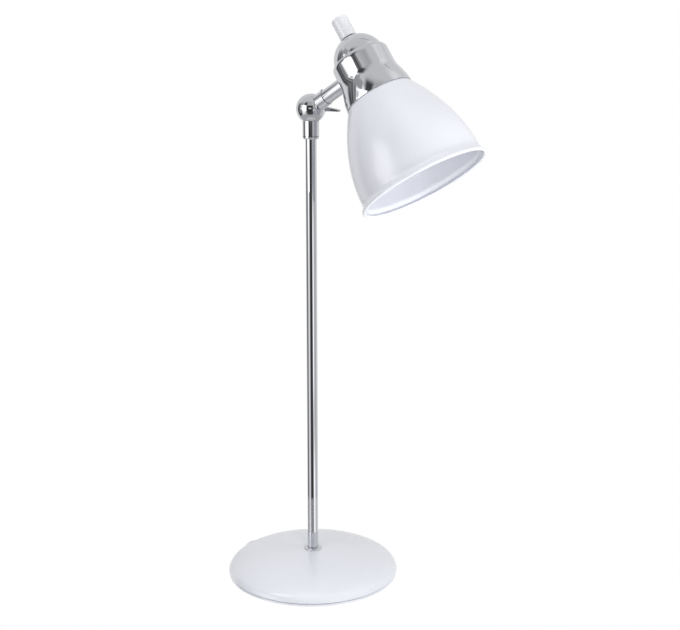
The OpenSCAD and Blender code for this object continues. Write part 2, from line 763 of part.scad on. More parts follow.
module socket_shell() {
    mouth_inset = 2;
    floor_gap = 1.5;
    foot = holder_drop - mouth_inset;
    color("goldenrod") on_head() translate([0, 0, -foot])
        tube(2 * (socket_r + socket_wall), socket_wall, foot - bulb_foot_drop - floor_gap);
}
module centre_contact() {
    contact_r = 3;
    color("goldenrod") on_head() translate([0, 0, -bulb_foot_drop]) cylinder(r = contact_r, h = contact_t);
}
module bulb_cap() {
    cap_r = bulb_cap_d / 2;
    foot_r = 2.4;
    foot_t = 0.8;
    bevel = 0.9;
    cone_t = 2.6;
    cone_h = -bulb_foot_drop - foot_t - cone_t;
    color("silver") on_head() rotate_extrude() polygon([
        [0, -bulb_foot_drop], [0, -bulb_foot_drop - bulb_cap_l],
        [cap_r, -bulb_foot_drop - bulb_cap_l], [cap_r, cone_h - bevel], [cap_r - bevel, cone_h],
        [foot_r, -bulb_foot_drop - foot_t], [foot_r, -bulb_foot_drop]]);
}
// The glass's outline from its neck to its end, for a surface that lies inset
function glass_path(inset) = concat(
    [[bulb_neck_r - inset, -bulb_foot_drop - bulb_cap_l],
     [bulb_neck_r - inset, -holder_drop - 2 * seat_gap - inset / 2]],
    arc(0, bulb_middle_h, bulb_r - inset, glass_start, -90, curve_n));
module bulb_glass() {
    glass_wall = 0.8;
    color("ivory") on_head() rotate_extrude()
        polygon(concat(glass_path(0), reversed(glass_path(glass_wall))));
}
module switch_body() {
    color("whitesmoke") on_head() difference() {
        union() {
            translate([0, 0, switch_foot_h]) cylinder(d = switch_d, h = switch_top_h - switch_foot_h);
            translate([0, 0, switch_foot_h]) cylinder(d = bush_d, h = bush_top_h - switch_foot_h);
        }
        translate([0, 0, spindle_foot_h - seat_gap])
            cylinder(r = spindle_d / 2 + spindle_play, h = knob_top_h);
    }
}
module switch_nut() {
    color("silver") on_head() translate([0, 0, crown_h])
        hex_nut(switch_nut_af, switch_nut_h, bush_d + 2 * snug);
}
// The spindle's form, round in its bush and flattened on one side in the knob
module spindle_form(grow) {
    difference() {
        translate([0, 0, spindle_foot_h - grow])
            cylinder(d = spindle_d + 2 * grow, h = spindle_top_h - spindle_foot_h + 2 * grow);
        translate([spindle_d / 2 - spindle_flat + grow, -spindle_d, knob_bore_foot_h - grow])
            cube([spindle_d, 2 * spindle_d, spindle_top_h]);
    }
}
module switch_spindle() {
    color("silver") on_head() spindle_form(0);
}
module switch_knob() {
    knob_r = knob_d / 2;
    color("white") on_head() difference() {
        rotate_extrude() polygon(concat(
            [[0, knob_foot_h], [knob_r, knob_foot_h]],
            arc(knob_r - knob_round, knob_top_h - knob_round, knob_round, 0, 90, round_n),
            [[0, knob_top_h]]));
        translate([0, 0, knob_foot_h - past])
            cylinder(r = crown_flat_r, h = knob_bore_foot_h - knob_foot_h + past);
        spindle_form(snug / 2);
    }
}

base_pad();
base_plate();
plate_screws();
base_weight();
base_shell();
cord_inlet_bush();
pole();
base_rosette();
pole_washer();
pole_nut();
swivel_ring();
knuckle_fixed_half();
swivel_stop_screw();
tilt_stop_pin();
friction_disc();
knuckle_moving_half();
clamp_washer();
wing_screw();
sleeve_set_screw();
arm_tube();
arm_saddle_washer();
arm_nut();
head_cap();
shade();
shade_ring();
lamp_holder();
socket_shell();
centre_contact();
bulb_cap();
bulb_glass();
switch_body();
switch_nut();
switch_spindle();
switch_knob();
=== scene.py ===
"""A swing arm desk lamp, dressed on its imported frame.

The pieces are turned, cut, threaded or shaped here in millimetres on their own axes, and set
in the row frame by a Place. Every piece rides on the body of the CAD node that it stands for.
"""

import json
import logging
import math
from dataclasses import dataclass
from enum import Enum
from functools import partial
from typing import Callable, Iterable, Sequence

import bmesh
import bpy
import numpy as np
from mathutils import Matrix, Vector

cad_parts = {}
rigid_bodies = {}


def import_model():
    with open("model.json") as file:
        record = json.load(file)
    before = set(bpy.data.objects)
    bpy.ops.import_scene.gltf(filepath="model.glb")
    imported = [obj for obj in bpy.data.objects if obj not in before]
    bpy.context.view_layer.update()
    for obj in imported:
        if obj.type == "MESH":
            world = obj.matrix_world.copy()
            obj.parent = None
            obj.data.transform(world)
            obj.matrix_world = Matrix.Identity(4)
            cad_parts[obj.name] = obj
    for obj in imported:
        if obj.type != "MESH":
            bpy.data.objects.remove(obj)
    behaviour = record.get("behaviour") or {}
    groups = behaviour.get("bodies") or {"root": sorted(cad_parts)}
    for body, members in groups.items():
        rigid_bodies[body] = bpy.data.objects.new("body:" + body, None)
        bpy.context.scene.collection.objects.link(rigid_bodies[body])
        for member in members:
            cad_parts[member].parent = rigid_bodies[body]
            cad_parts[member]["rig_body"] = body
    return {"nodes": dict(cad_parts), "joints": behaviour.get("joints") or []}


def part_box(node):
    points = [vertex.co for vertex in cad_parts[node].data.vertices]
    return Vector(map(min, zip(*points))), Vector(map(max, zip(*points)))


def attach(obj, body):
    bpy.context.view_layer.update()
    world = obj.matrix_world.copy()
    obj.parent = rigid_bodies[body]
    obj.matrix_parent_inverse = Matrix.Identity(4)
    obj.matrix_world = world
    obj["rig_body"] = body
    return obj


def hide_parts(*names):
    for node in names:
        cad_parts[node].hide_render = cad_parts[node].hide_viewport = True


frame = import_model()

MM = 0.001
LOG = logging.getLogger("desk_lamp")

Triple = tuple[float, float, float]
Colour = Triple
Outline = list[tuple[float, float]]
Material = bpy.types.Material
Mesh = bpy.types.Mesh
Piece = bpy.types.Object
Socket = bpy.types.NodeSocket
Sockets = bpy.types.bpy_prop_collection
Number = Socket | float


# ---------------------------------------------------------------- places


@dataclass(frozen=True)
class Place:
    """A piece's own axes, set in the row frame.

    Attributes:
        origin: Where the axes start, in metres.
        up: Direction of the piece's own Z axis.
    """

    origin: Vector
    up: Vector

    @property
    def matrix(self) -> Matrix:
        """The transform from the piece's own axes to the row frame.

        Returns:
            The matrix.
        """
        up = self.up.normalized()
        sideways = abs(up.y) > 0.9
        across = Vector((1, 0, 0)) if sideways else Vector((up.z, 0, -up.x)).normalized()
        turned = Matrix((across, up.cross(across), up)).transposed().to_4x4()
        turned.translation = self.origin
        return turned


def joint(name: str) -> dict:
    """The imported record's joint of that name, with its place and axis."""
    return next(entry for entry in frame["joints"] if entry["name"] == name)


BALL_CENTRE = Vector(joint("tilt")["pos_m"])
HEAD_CENTRE = Vector(joint("switch_knob")["pos_m"])
STAND = Place(Vector((0, 0, 0)), Vector((0, 0, 1)))
NECK = Place(BALL_CENTRE, Vector((0, 0, 1)))
CLAMP = Place(BALL_CENTRE, Vector(joint("wing_screw")["axis"]))
ARM = Place(BALL_CENTRE, HEAD_CENTRE - BALL_CENTRE)
HEAD = Place(HEAD_CENTRE, Vector(joint("switch_knob")["axis"]))


# ---------------------------------------------------------------- node graphs


class Graph:
    """Adds nodes to a node tree and links them, with inputs given by name."""

    def __init__(self, tree: bpy.types.NodeTree) -> None:
        """Keeps the tree that the nodes go in."""
        self.tree = tree

    def fill(self, node: bpy.types.Node, inputs: dict) -> None:
        """Gives a node's inputs their values or links, by name or by index.

        Args:
            node: The node.
            inputs: The values or sockets.
        """
        for key, value in inputs.items():
            if isinstance(value, Socket):
                self.tree.links.new(value, node.inputs[key])
            else:
                node.inputs[key].default_value = value

    def add(self, kind: str, inputs: dict | None = None, **settings: object) -> bpy.types.Node:
        """Adds a node.

        Args:
            kind: The node's type name.
            inputs: Values or sockets for its inputs, by name or by index.
            **settings: The node's own properties.

        Returns:
            The new node.
        """
        node = self.tree.nodes.new(kind)
        for key, value in settings.items():
            setattr(node, key, value)
        self.fill(node, inputs or {})
        return node

    def math(self, operation: str, first: Number, second: Number = 0.0,
             third: Number = 0.0) -> Socket:
        """The result of a Math node on three numbers or sockets."""
        inputs = {0: first, 1: second, 2: third}
        return self.add("ShaderNodeMath", inputs, operation=operation).outputs[0]

    def between(self, share: Number, first: Number, second: Number) -> Socket:
        """The number that lies at a share of the way from the first to the second."""
        return self.math("MULTIPLY_ADD", share, self.math("SUBTRACT", second, first), first)

    def band(self, value: Number, low: float, high: float, to_low: float = 0.0,
             to_high: float = 1.0) -> Socket:
        """A value mapped smoothly from low..high to to_low..to_high, and held there outside."""
        inputs = {0: value, 1: low, 2: high, 3: to_low, 4: to_high}
        return self.add("ShaderNodeMapRange", inputs, interpolation_type="SMOOTHSTEP").outputs[0]

    def stretched(self, vector: Socket, scale: Triple = (1, 1, 1),
                  rotation: Triple = (0, 0, 0)) -> Socket:
        """A vector turned and stretched."""
        inputs = {"Vector": vector, "Rotation": rotation, "Scale": scale}
        return self.add("ShaderNodeMapping", inputs).outputs[0]

    def noise(self, vector: Socket, scale: Number, detail: float) -> Socket:
        """A cloudy noise."""
        inputs = {"Vector": vector, "Scale": scale, "Detail": detail}
        return self.add("ShaderNodeTexNoise", inputs).outputs["Fac"]


class Group(Graph):
    """A node group with its own inputs and outputs.

    Attributes:
        given: The sockets that bring the inputs.
        wanted: The sockets that take the outputs.
    """

    def __init__(self, name: str, kind: str, inputs: dict[str, str],
                 outputs: dict[str, str]) -> None:
        """Starts the group.

        Args:
            name: Its name.
            kind: Its kind of node tree.
            inputs: Its inputs, each with its kind of socket.
            outputs: Its outputs, likewise.
        """
        super().__init__(bpy.data.node_groups.new(name, kind))
        for side, sockets in (("INPUT", inputs), ("OUTPUT", outputs)):
            for label, socket in sockets.items():
                self.tree.interface.new_socket(
                    name=label, in_out=side, socket_type=f"NodeSocket{socket}"
                )
        self.given = self.add("NodeGroupInput").outputs
        self.wanted = self.add("NodeGroupOutput").inputs

    def give(self, **results: Socket) -> None:
        """Puts results out."""
        for label, result in results.items():
            self.tree.links.new(result, self.wanted[label])


# ---------------------------------------------------------------- surface effects


def effect(name: str, inputs: Iterable[str], outputs: Iterable[str]) -> Group:
    """Starts an effect: a group that takes a vector and numbers, and puts out numbers."""
    numbers = {"Vector": "Vector", **dict.fromkeys(inputs, "Float")}
    return Group(name, "ShaderNodeTree", numbers, dict.fromkeys(outputs, "Float"))


def handling() -> Group:
    """Hairline scratches and faint smears from wiping.

    Returns:
        The group.
    """
    g = effect("handling", ["Scale", "Amount"], ["Mask", "Height"])
    scaled = {0: g.given["Vector"], "Scale": g.given["Scale"]}
    place = g.add("ShaderNodeVectorMath", scaled, operation="SCALE").outputs[0]
    hairs = []
    for turn, stretch in ((0.5, 900.0), (1.9, 700.0)):
        run = g.stretched(place, (stretch, 16.0, 24.0), (turn, 0.4 * turn, 1.3 * turn))
        hairs.append(g.band(g.noise(run, 1.0, 2.0), 0.66, 0.74))
    hair = g.math("MAXIMUM", *hairs)
    smear = g.band(g.noise(place, 28.0, 4.0), 0.45, 0.75)
    worn = g.math("MULTIPLY_ADD", hair, 0.6, smear)
    g.give(
        Mask=g.math("MULTIPLY", worn, g.given["Amount"]), Height=g.math("MULTIPLY", hair, -1.0)
    )
    return g


def ripple() -> Group:
    """The faint unevenness of a sprayed or plated skin.

    Returns:
        The group.
    """
    g = effect("ripple", ["Scale"], ["Height"])
    g.give(Height=g.noise(g.given["Vector"], g.given["Scale"], 2.0))
    return g


def grain() -> Group:
    """Cells and pores, as in foam, castings and moulded plastic.

    Returns:
        The group.
    """
    g = effect("grain", ["Scale", "Pores"], ["Mask", "Height"])
    place = {"Vector": g.given["Vector"], "Scale": g.given["Scale"]}
    cells = g.add("ShaderNodeTexVoronoi", place).outputs["Distance"]
    cloud = g.noise(place["Vector"], place["Scale"], 2.5)
    height = g.math("MULTIPLY_ADD", cells, g.given["Pores"], cloud)
    g.give(Mask=g.band(cloud, 0.35, 0.7), Height=height)
    return g


def brushing() -> Group:
    """Fine turned or drawn lines along one direction.

    Returns:
        The group.
    """
    g = effect("brushing", [], ["Mask", "Height"])
    line = g.noise(g.stretched(g.given["Vector"], (220.0, 220.0, 5200.0)), 1.0, 3.0)
    g.give(Mask=g.band(line, 0.3, 0.7), Height=line)
    return g


class Effects:
    """The surface effects that the finishes share, each built once."""

    def __init__(self) -> None:
        """Builds the effects."""
        self.groups = {
            make.__name__: make().tree for make in (handling, ripple, grain, brushing)
        }

    def use(self, g: Graph, place: Socket, name: str, **values: float) -> Sockets:
        """Places an effect in a material.

        Args:
            g: The material's graph.
            place: Where on the object a point lies.
            name: The effect's name.
            **values: Its inputs.

        Returns:
            Its outputs.
        """
        inputs = {"Vector": place, **values}
        return g.add("ShaderNodeGroup", inputs, node_tree=self.groups[name]).outputs


# ---------------------------------------------------------------- finishes


@dataclass(frozen=True)
class Skin:
    """What a finish puts into its shader.

    Attributes:
        tones: Its two colours, linear.
        share: Share of the second colour.
        rough: Its roughness.
        height: Its relief.
        strength: How strongly the relief shows.
        depth_mm: Depth of the relief.
        settings: Other inputs of the shader.
    """

    tones: tuple[Colour, Colour]
    share: Socket
    rough: Socket
    height: Socket
    strength: float
    depth_mm: float
    settings: dict[str, float]


@dataclass(frozen=True)
class Finish:
    """What every finish has.

    Attributes:
        name: The material's name.
        slot: The record's material slot; not used.
        colour: Its colour, linear.
        roughness: Its roughness where it is clean.
    """

    name: str
    slot: str
    colour: Colour
    roughness: float

    def dimmed(self, share: float) -> Colour:
        """A share of the finish's colour."""
        return tuple(share * part for part in self.colour)

    def skin(self, g: Graph, use: Callable[..., Sockets]) -> Skin:
        """What the finish puts into its shader.

        Args:
            g: The material's graph.
            use: Places an effect of that name, with its values, and returns its outputs.

        Returns:
            The skin.
        """
        raise NotImplementedError

    def build(self, effects: Effects) -> Material:
        """The finished material.

        Args:
            effects: The effects that the finishes share.

        Returns:
            The material.
        """
        material = bpy.data.materials.new(self.name)
        material.use_nodes = True
        material.diffuse_color = (*self.colour, 1.0)
        g = Graph(material.node_tree)
        place = g.add("ShaderNodeTexCoord").outputs["Object"]
        skin = self.skin(g, partial(effects.use, g, place))
        first, second = skin.tones
        tones = {0: skin.share, 6: (*first, 1), 7: (*second, 1)}
        tone = g.add("ShaderNodeMix", tones, data_type="RGBA", clamp_factor=True).outputs[2]
        relief = {
            "Height": skin.height, "Strength": skin.strength, "Distance": skin.depth_mm * MM,
        }
        normal = g.add("ShaderNodeBump", relief).outputs["Normal"]
        inputs = {"Base Color": tone, "Roughness": skin.rough, "Normal": normal}
        g.fill(material.node_tree.nodes["Principled BSDF"], {**inputs, **skin.settings})
        return material


@dataclass(frozen=True)
class Plating(Finish):
    """Polished or satin plated metal, with faint smears and hairlines.

    It is duller to the light that it throws on matt pieces, so that it throws no glints.

    Attributes:
        smear: How much the smears roughen it.
        brushed: How much drawn or turned lines show.
    """

    smear: float = 0.05
    brushed: float = 0.0

    def skin(self, g: Graph, use: Callable[..., Sockets]) -> Skin:
        """What the plating puts into its shader.

        Args:
            g: The material's graph.
            use: Places an effect and returns its outputs.

        Returns:
            The skin.
        """
        worn, lines = use("handling", Scale=1.0, Amount=1.0), use("brushing")
        rough = g.math("MULTIPLY_ADD", worn["Mask"], self.smear, self.roughness)
        rough = g.math("MULTIPLY_ADD", lines["Mask"], 0.5 * self.brushed, rough)
        thrown = g.add("ShaderNodeLightPath").outputs["Is Diffuse Ray"]
        wave = use("ripple", Scale=120.0)["Height"]
        return Skin(
            tones=(self.colour, self.dimmed(0.9)), share=g.math("MULTIPLY", worn["Mask"], 0.5),
            rough=g.math("MULTIPLY_ADD", thrown, 0.5, rough),
            height=g.math("MULTIPLY_ADD", lines["Height"], 3.0 * self.brushed, wave),
            strength=0.12, depth_mm=0.02, settings={"Metallic": 1.0},
        )


@dataclass(frozen=True)
class Lacquer(Finish):
    """Sprayed gloss paint under a clear coat.

    Attributes:
        coat_roughness: Roughness of the clear coat.
        coat_ior: How strongly it reflects, as its index of refraction.
    """

    coat_roughness: float = 0.17
    coat_ior: float = 1.5

    def skin(self, g: Graph, use: Callable[..., Sockets]) -> Skin:
        """What the lacquer puts into its shader.

        Args:
            g: The material's graph.
            use: Places an effect and returns its outputs.

        Returns:
            The skin.
        """
        worn = use("handling", Scale=0.7, Amount=0.8)["Mask"]
        coat = {
            "Coat Weight": 1.0, "Coat Roughness": self.coat_roughness, "Coat IOR": self.coat_ior,
        }
        return Skin(
            tones=(self.colour, self.dimmed(0.975)), share=worn,
            rough=g.math("MULTIPLY_ADD", worn, 0.06, self.roughness),
            height=use("ripple", Scale=420.0)["Height"], strength=0.1, depth_mm=0.03,
            settings=coat,
        )


@dataclass(frozen=True)
class Moulding(Finish):
    """Moulded plastic, hard fibre or foam, with its own grain.

    Attributes:
        grain: Scale of the grain, cells to the metre.
        pores: How much the cells show beside the cloud.
        depth_mm: Depth of the grain.
        shift: How much darker the grain's low places are.
        sheen: Weight of the soft sheen, as on foam.
    """

    grain: float = 1200.0
    pores: float = 0.2
    depth_mm: float = 0.02
    shift: float = 0.03
    sheen: float = 0.0

    def skin(self, g: Graph, use: Callable[..., Sockets]) -> Skin:
        """What the moulding puts into its shader.

        Args:
            g: The material's graph.
            use: Places an effect and returns its outputs.

        Returns:
            The skin.
        """
        cells = use("grain", Scale=self.grain, Pores=self.pores)
        worn = use("handling", Scale=1.0, Amount=0.5)["Mask"]
        return Skin(
            tones=(self.dimmed(1 - self.shift), self.colour), share=cells["Mask"],
            rough=g.math("MULTIPLY_ADD", worn, 0.08, self.roughness), height=cells["Height"],
            strength=0.35, depth_mm=self.depth_mm, settings={"Sheen Weight": self.sheen},
        )


@dataclass(frozen=True)
class Casting(Finish):
    """Rough cast iron under a thin dark paint.

    Attributes:
        bare: Colour of the iron that shows through.
    """

    bare: Colour = (0.2, 0.19, 0.18)

    def skin(self, g: Graph, use: Callable[..., Sockets]) -> Skin:
        """What the casting puts into its shader.

        Args:
            g: The material's graph.
            use: Places an effect and returns its outputs.

        Returns:
            The skin.
        """
        sand = use("grain", Scale=260.0, Pores=0.8)
        return Skin(
            tones=(self.colour, self.bare), share=g.math("MULTIPLY", sand["Mask"], 0.4),
            rough=g.math("MULTIPLY_ADD", sand["Mask"], 0.2, self.roughness),
            height=sand["Height"], strength=0.6, depth_mm=0.25, settings={"Metallic": 0.6},
        )


@dataclass(frozen=True)
class OpalGlass(Finish):
    """White opal glass, which lets a little light through.

    Attributes:
        clearness: Weight of what passes through.
    """

    clearness: float = 0.15

    def skin(self, g: Graph, use: Callable[..., Sockets]) -> Skin:
        """What the glass puts into its shader.

        Args:
            g: The material's graph.
            use: Places an effect and returns its outputs.

        Returns:
            The skin.
        """
        worn = use("handling", Scale=0.8, Amount=0.4)["Mask"]
        settings = {
            "Transmission Weight": self.clearness, "Coat Weight": 0.6, "Coat Roughness": 0.04,
        }
        return Skin(
            tones=(self.dimmed(0.97), self.colour),
            share=use("grain", Scale=90.0, Pores=0.0)["Mask"],
            rough=g.math("MULTIPLY_ADD", worn, 0.08, self.roughness),
            height=use("ripple", Scale=260.0)["Height"], strength=0.05, depth_mm=0.02,
            settings=settings,
        )


class Look(Enum):
    """The finishes that the lamp's pieces take."""

    CHROME = Plating("chrome_plate", "chrome", (0.66, 0.666, 0.698), 0.02, smear=0.03)
    # WHITE is the shade's paint made brighter: a painted lit copy that stands in for light the base
    # lacks. The blue in both whites is the room's bluish light painted into their colour.
    WHITE = Lacquer("base_lacquer_lit_copy", "white_paint", (0.885, 0.905, 0.975), 0.4,
                    coat_roughness=0.1, coat_ior=1.7)
    SHADE_WHITE = Lacquer("shade_lacquer", "white_paint", (0.80, 0.815, 0.88), 0.4)
    KNOB = Lacquer("knob_plastic", "knob_plastic", (0.8, 0.81, 0.85), 0.4)
    WHITE_PLASTIC = Moulding("white_plastic", "white_plastic", (0.8, 0.8, 0.79), 0.3,
                             grain=1900.0, depth_mm=0.008)
    ZINC = Plating("zinc_plate", "steel", (0.62, 0.63, 0.66), 0.22, smear=0.15, brushed=0.25)
    BLACKED = Plating("black_oxide", "dark_steel", (0.06, 0.06, 0.065), 0.35, smear=0.2,
                      brushed=0.1)
    NICKEL = Plating("nickel", "nickel", (0.66, 0.64, 0.6), 0.2, smear=0.12, brushed=0.15)
    BRASS = Plating("plain_brass", "brass", (0.72, 0.52, 0.24), 0.22, smear=0.15, brushed=0.25)
    IRON = Casting("cast_iron", "iron", (0.05, 0.05, 0.055), 0.55)
    FIBRE = Moulding("hard_fibre", "fibre", (0.2, 0.1, 0.055), 0.6, grain=1500.0, pores=0.5,
                     depth_mm=0.03, shift=0.3)
    FOAM = Moulding("foam_pad", "foam", (0.028, 0.028, 0.03), 0.85, grain=1400.0, pores=1.0,
                    depth_mm=0.12, shift=0.35, sheen=0.15)
    OPAL = OpalGlass("opal_glass", "opal_glass", (0.9, 0.89, 0.87), 0.25)


class Paintbox:
    """Builds each finish once, when a piece first asks for it."""

    def __init__(self) -> None:
        """Starts with the shared effects and no materials."""
        self.effects = Effects()
        self.made: dict[Look, Material] = {}

    def material(self, look: Look) -> Material:
        """The material of a finish.

        Args:
            look: Which finish.

        Returns:
            Its material, the same one each time.
        """
        if look not in self.made:
            self.made[look] = look.value.build(self.effects)
        return self.made[look]


# ---------------------------------------------------------------- outlines and meshes

SHARP_OVER = math.radians(30.0)

# A corner that turns by less than GENTLE or more than FOLDED stays as it is. A rounded one
# takes at most MOST_OF_SIDE of each of its sides, in SOFT_STEPS steps.
GENTLE = math.radians(32.0)
FOLDED = math.radians(176.0)
SOFT_STEPS = 4
MOST_OF_SIDE = 0.45
TINY = 1e-6


def shares(steps: int) -> list[float]:
    """The shares from 0 to 1 at which a line of so many steps has its points."""
    return [i / steps for i in range(steps + 1)]


def bow(across: float, along: float, radius: float, start: float, end: float, steps: int) -> Outline:
    """Points of an arc in an outline.

    Args:
        across: The arc's centre, from the axis.
        along: The arc's centre, along the axis.
        radius: Its radius.
        start: Where it starts, in degrees from straight out.
        end: Where it ends.
        steps: How many steps it has.

    Returns:
        The points from start to end.
    """
    turns = (math.radians(start + (end - start) * share) for share in shares(steps))
    return [(across + radius * math.cos(a), along + radius * math.sin(a)) for a in turns]


def bent(start: Vector, corner: Vector, end: Vector, share: float) -> Vector:
    """The point at a share of a curve that rounds a corner."""
    return start.lerp(corner, share).lerp(corner.lerp(end, share), share)


def soften(outline: Outline, radius: float) -> Outline:
    """Rounds the corners of a closed outline, but not its gentle turns.

    Args:
        outline: The outline's points, in order.
        radius: Radius of a rounded corner, less where its sides are short.

    Returns:
        The outline with its corners rounded.
    """
    rounded: Outline = []
    for i, point in enumerate(outline):
        here = Vector(point)
        into, out = here - Vector(outline[i - 1]), Vector(outline[(i + 1) % len(outline)]) - here
        least = min(here.x, into.length, out.length)
        if least < TINY or not GENTLE <= into.angle(out) <= FOLDED:
            rounded.append(point)
            continue
        side = MOST_OF_SIDE * min(into.length, out.length)
        reach = min(radius * math.tan(into.angle(out) / 2), side)
        start, end = here - into.normalized() * reach, here + out.normalized() * reach
        rounded += [tuple(bent(start, here, end, share)) for share in shares(SOFT_STEPS)]
    return rounded


def new_piece(name: str, data: bpy.types.ID) -> Piece:
    """An object in the scene for a mesh, a lamp or a camera.

    Args:
        name: Its name.
        data: What it shows.

    Returns:
        The new object.
    """
    piece = bpy.data.objects.new(name, data)
    bpy.context.scene.collection.objects.link(piece)
    return piece


def smooth(mesh: Mesh) -> None:
    """Shades a mesh smooth, with a crease wherever it turns sharply."""
    mesh.polygons.foreach_set("use_smooth", [True] * len(mesh.polygons))
    mesh.set_sharp_from_angle(angle=SHARP_OVER)


def closed(name: str, bm: bmesh.types.BMesh) -> Mesh:
    """The mesh of a closed form, with its faces turned outward.

    Args:
        name: The mesh's name.
        bm: The form, which is freed.

    Returns:
        The new mesh.
    """
    bmesh.ops.recalc_face_normals(bm, faces=bm.faces)
    mesh = bpy.data.meshes.new(name)
    bm.to_mesh(mesh)
    bm.free()
    return mesh


def placed(name: str, mesh: Mesh, place: Place) -> Piece:
    """A piece of a mesh that is on the piece's own axes, set in its place.

    Args:
        name: The piece's name.
        mesh: Its mesh.
        place: Its axes.

    Returns:
        The new object.
    """
    mesh.transform(place.matrix)
    smooth(mesh)
    return new_piece(name, mesh)


def turned_mesh(name: str, outline: Outline, segments: int) -> Mesh:
    """Turns a closed outline round its own Z axis.

    Args:
        name: The mesh's name.
        outline: (radius, height) points in millimetres, in order round the section.
        segments: Steps round the axis.

    Returns:
        The closed mesh on the piece's own axes, in metres.
    """
    bm = bmesh.new()
    turns = [2 * math.pi * share for share in shares(segments)[:-1]]
    rings = []
    for radius, height in outline:
        if radius < TINY:
            rings.append([bm.verts.new((0, 0, height * MM))] * segments)
            continue
        across = radius * MM
        rings.append([
            bm.verts.new((across * math.cos(a), across * math.sin(a), height * MM))
            for a in turns
        ])
    for first, second in zip(rings, rings[1:] + rings[:1]):
        for i in range(segments):
            j = (i + 1) % segments
            corners = list(dict.fromkeys((first[i], first[j], second[j], second[i])))
            if len(corners) > 2:
                bm.faces.new(corners)
    return closed(name, bm)


def turned(name: str, outline: Outline, place: Place, segments: int = 160) -> Piece:
    """A piece turned from its section in millimetres, set in its place."""
    return placed(name, turned_mesh(name, outline, segments), place)


def joined(name: str, meshes: Iterable[Mesh], place: Place) -> Piece:
    """One piece of several meshes on the same own axes, set in its place.

    Args:
        name: The piece's name.
        meshes: The meshes, on the piece's own axes.
        place: Its axes.

    Returns:
        The new object.
    """
    bm = bmesh.new()
    for mesh in meshes:
        bm.from_mesh(mesh)
    return placed(name, closed(name, bm), place)


def worked_out(piece: Piece) -> Mesh:
    """A plain mesh of a piece with its modifiers applied."""
    graph = bpy.context.evaluated_depsgraph_get()
    return bpy.data.meshes.new_from_object(piece.evaluated_get(graph), depsgraph=graph)


def drill(piece: Piece, radius: float, start: float, end: float, place: Place) -> None:
    """Cuts a round hole in a piece.

    Args:
        piece: The piece.
        radius: The hole's radius, in millimetres.
        start: Where the drill starts along the place's Z axis.
        end: Where it ends.
        place: The drill's axes.
    """
    tool = turned("drill", [(0, start), (radius, start), (radius, end), (0, end)], place, 96)
    cut = piece.modifiers.new("hole", "BOOLEAN")
    cut.operation = "DIFFERENCE"
    cut.solver = "EXACT"
    cut.object = tool
    mesh = worked_out(piece)
    piece.modifiers.clear()
    piece.data = mesh
    bpy.data.objects.remove(tool)
    smooth(piece.data)


# ---------------------------------------------------------------- true normals

# A point this near a surface lies on it, and a face fits a surface where the cosine of the
# angle between their normals is over ALIGNED.
NEAR_MM = 0.03
ALIGNED = 0.94


def rows(items: bpy.types.bpy_prop_collection, attribute: str, kind: type = float) -> np.ndarray:
    """An attribute of all of a mesh's items: a row of three for each, or a whole number.

    Args:
        items: The mesh's vertices, corners or faces.
        attribute: The attribute's name.
        kind: Kind of its numbers.

    Returns:
        The values.
    """
    width = 3 if kind is float else 1
    values = np.empty(len(items) * width, dtype=kind)
    items.foreach_get(attribute, values)
    return values.reshape(-1, 3) if width == 3 else values


@dataclass(frozen=True)
class Ball:
    """A ball about a place's origin.

    Attributes:
        place: Where it is.
        radius: Its radius, in millimetres.
    """

    place: Place
    radius: float

    def normals(self, points: np.ndarray) -> tuple[np.ndarray, np.ndarray]:
        """Outward directions at points in own axes and millimetres, and which points lie on it.

        Args:
            points: The points.

        Returns:
            The directions, and which points lie on the surface.
        """
        length = np.linalg.norm(points, axis=1)
        near = np.abs(length - self.radius) < NEAR_MM
        return points / np.maximum(length, 1e-9)[:, None], near


@dataclass(frozen=True)
class Turning:
    """A surface turned about a place's Z axis.

    Attributes:
        place: Its axes.
        outline: Its section, (radius, height) in millimetres. An open line.
    """

    place: Place
    outline: Sequence[tuple[float, float]]

    def normals(self, points: np.ndarray) -> tuple[np.ndarray, np.ndarray]:
        """Directions at points in own axes and millimetres, and which points lie on it.

        Args:
            points: The points.

        Returns:
            The directions, and which points lie on the surface.
        """
        line = np.array(self.outline)
        step = np.diff(line, axis=0)
        length = np.linalg.norm(step, axis=1)
        across = np.stack([step[:, 1], -step[:, 0]], axis=1) / length[:, None]
        corner = np.concatenate([across[:1], across[:-1] + across[1:], across[-1:]])
        radius = np.linalg.norm(points[:, :2], axis=1)
        flat = np.stack([radius, points[:, 2]], axis=1)[:, None]
        share = np.clip(((flat - line[:-1]) * step).sum(2) / length**2, 0, 1)
        gap = np.linalg.norm(flat - (line[:-1] + share[..., None] * step), axis=2)
        best = (np.arange(len(points)), gap.argmin(1))
        part = share[best][:, None]
        section = corner[best[1]] * (1 - part) + corner[best[1] + 1] * part
        section /= np.linalg.norm(section, axis=1)[:, None]
        out = points[:, :2] / np.maximum(radius, 1e-9)[:, None]
        return np.column_stack([out * section[:, :1], section[:, 1]]), gap[best] < NEAR_MM


def rod(place: Place, radius: float) -> Turning:
    """The surface of a long round rod along a place's Z axis."""
    reach = 1000.0
    return Turning(place, ((radius, -reach), (radius, reach)))


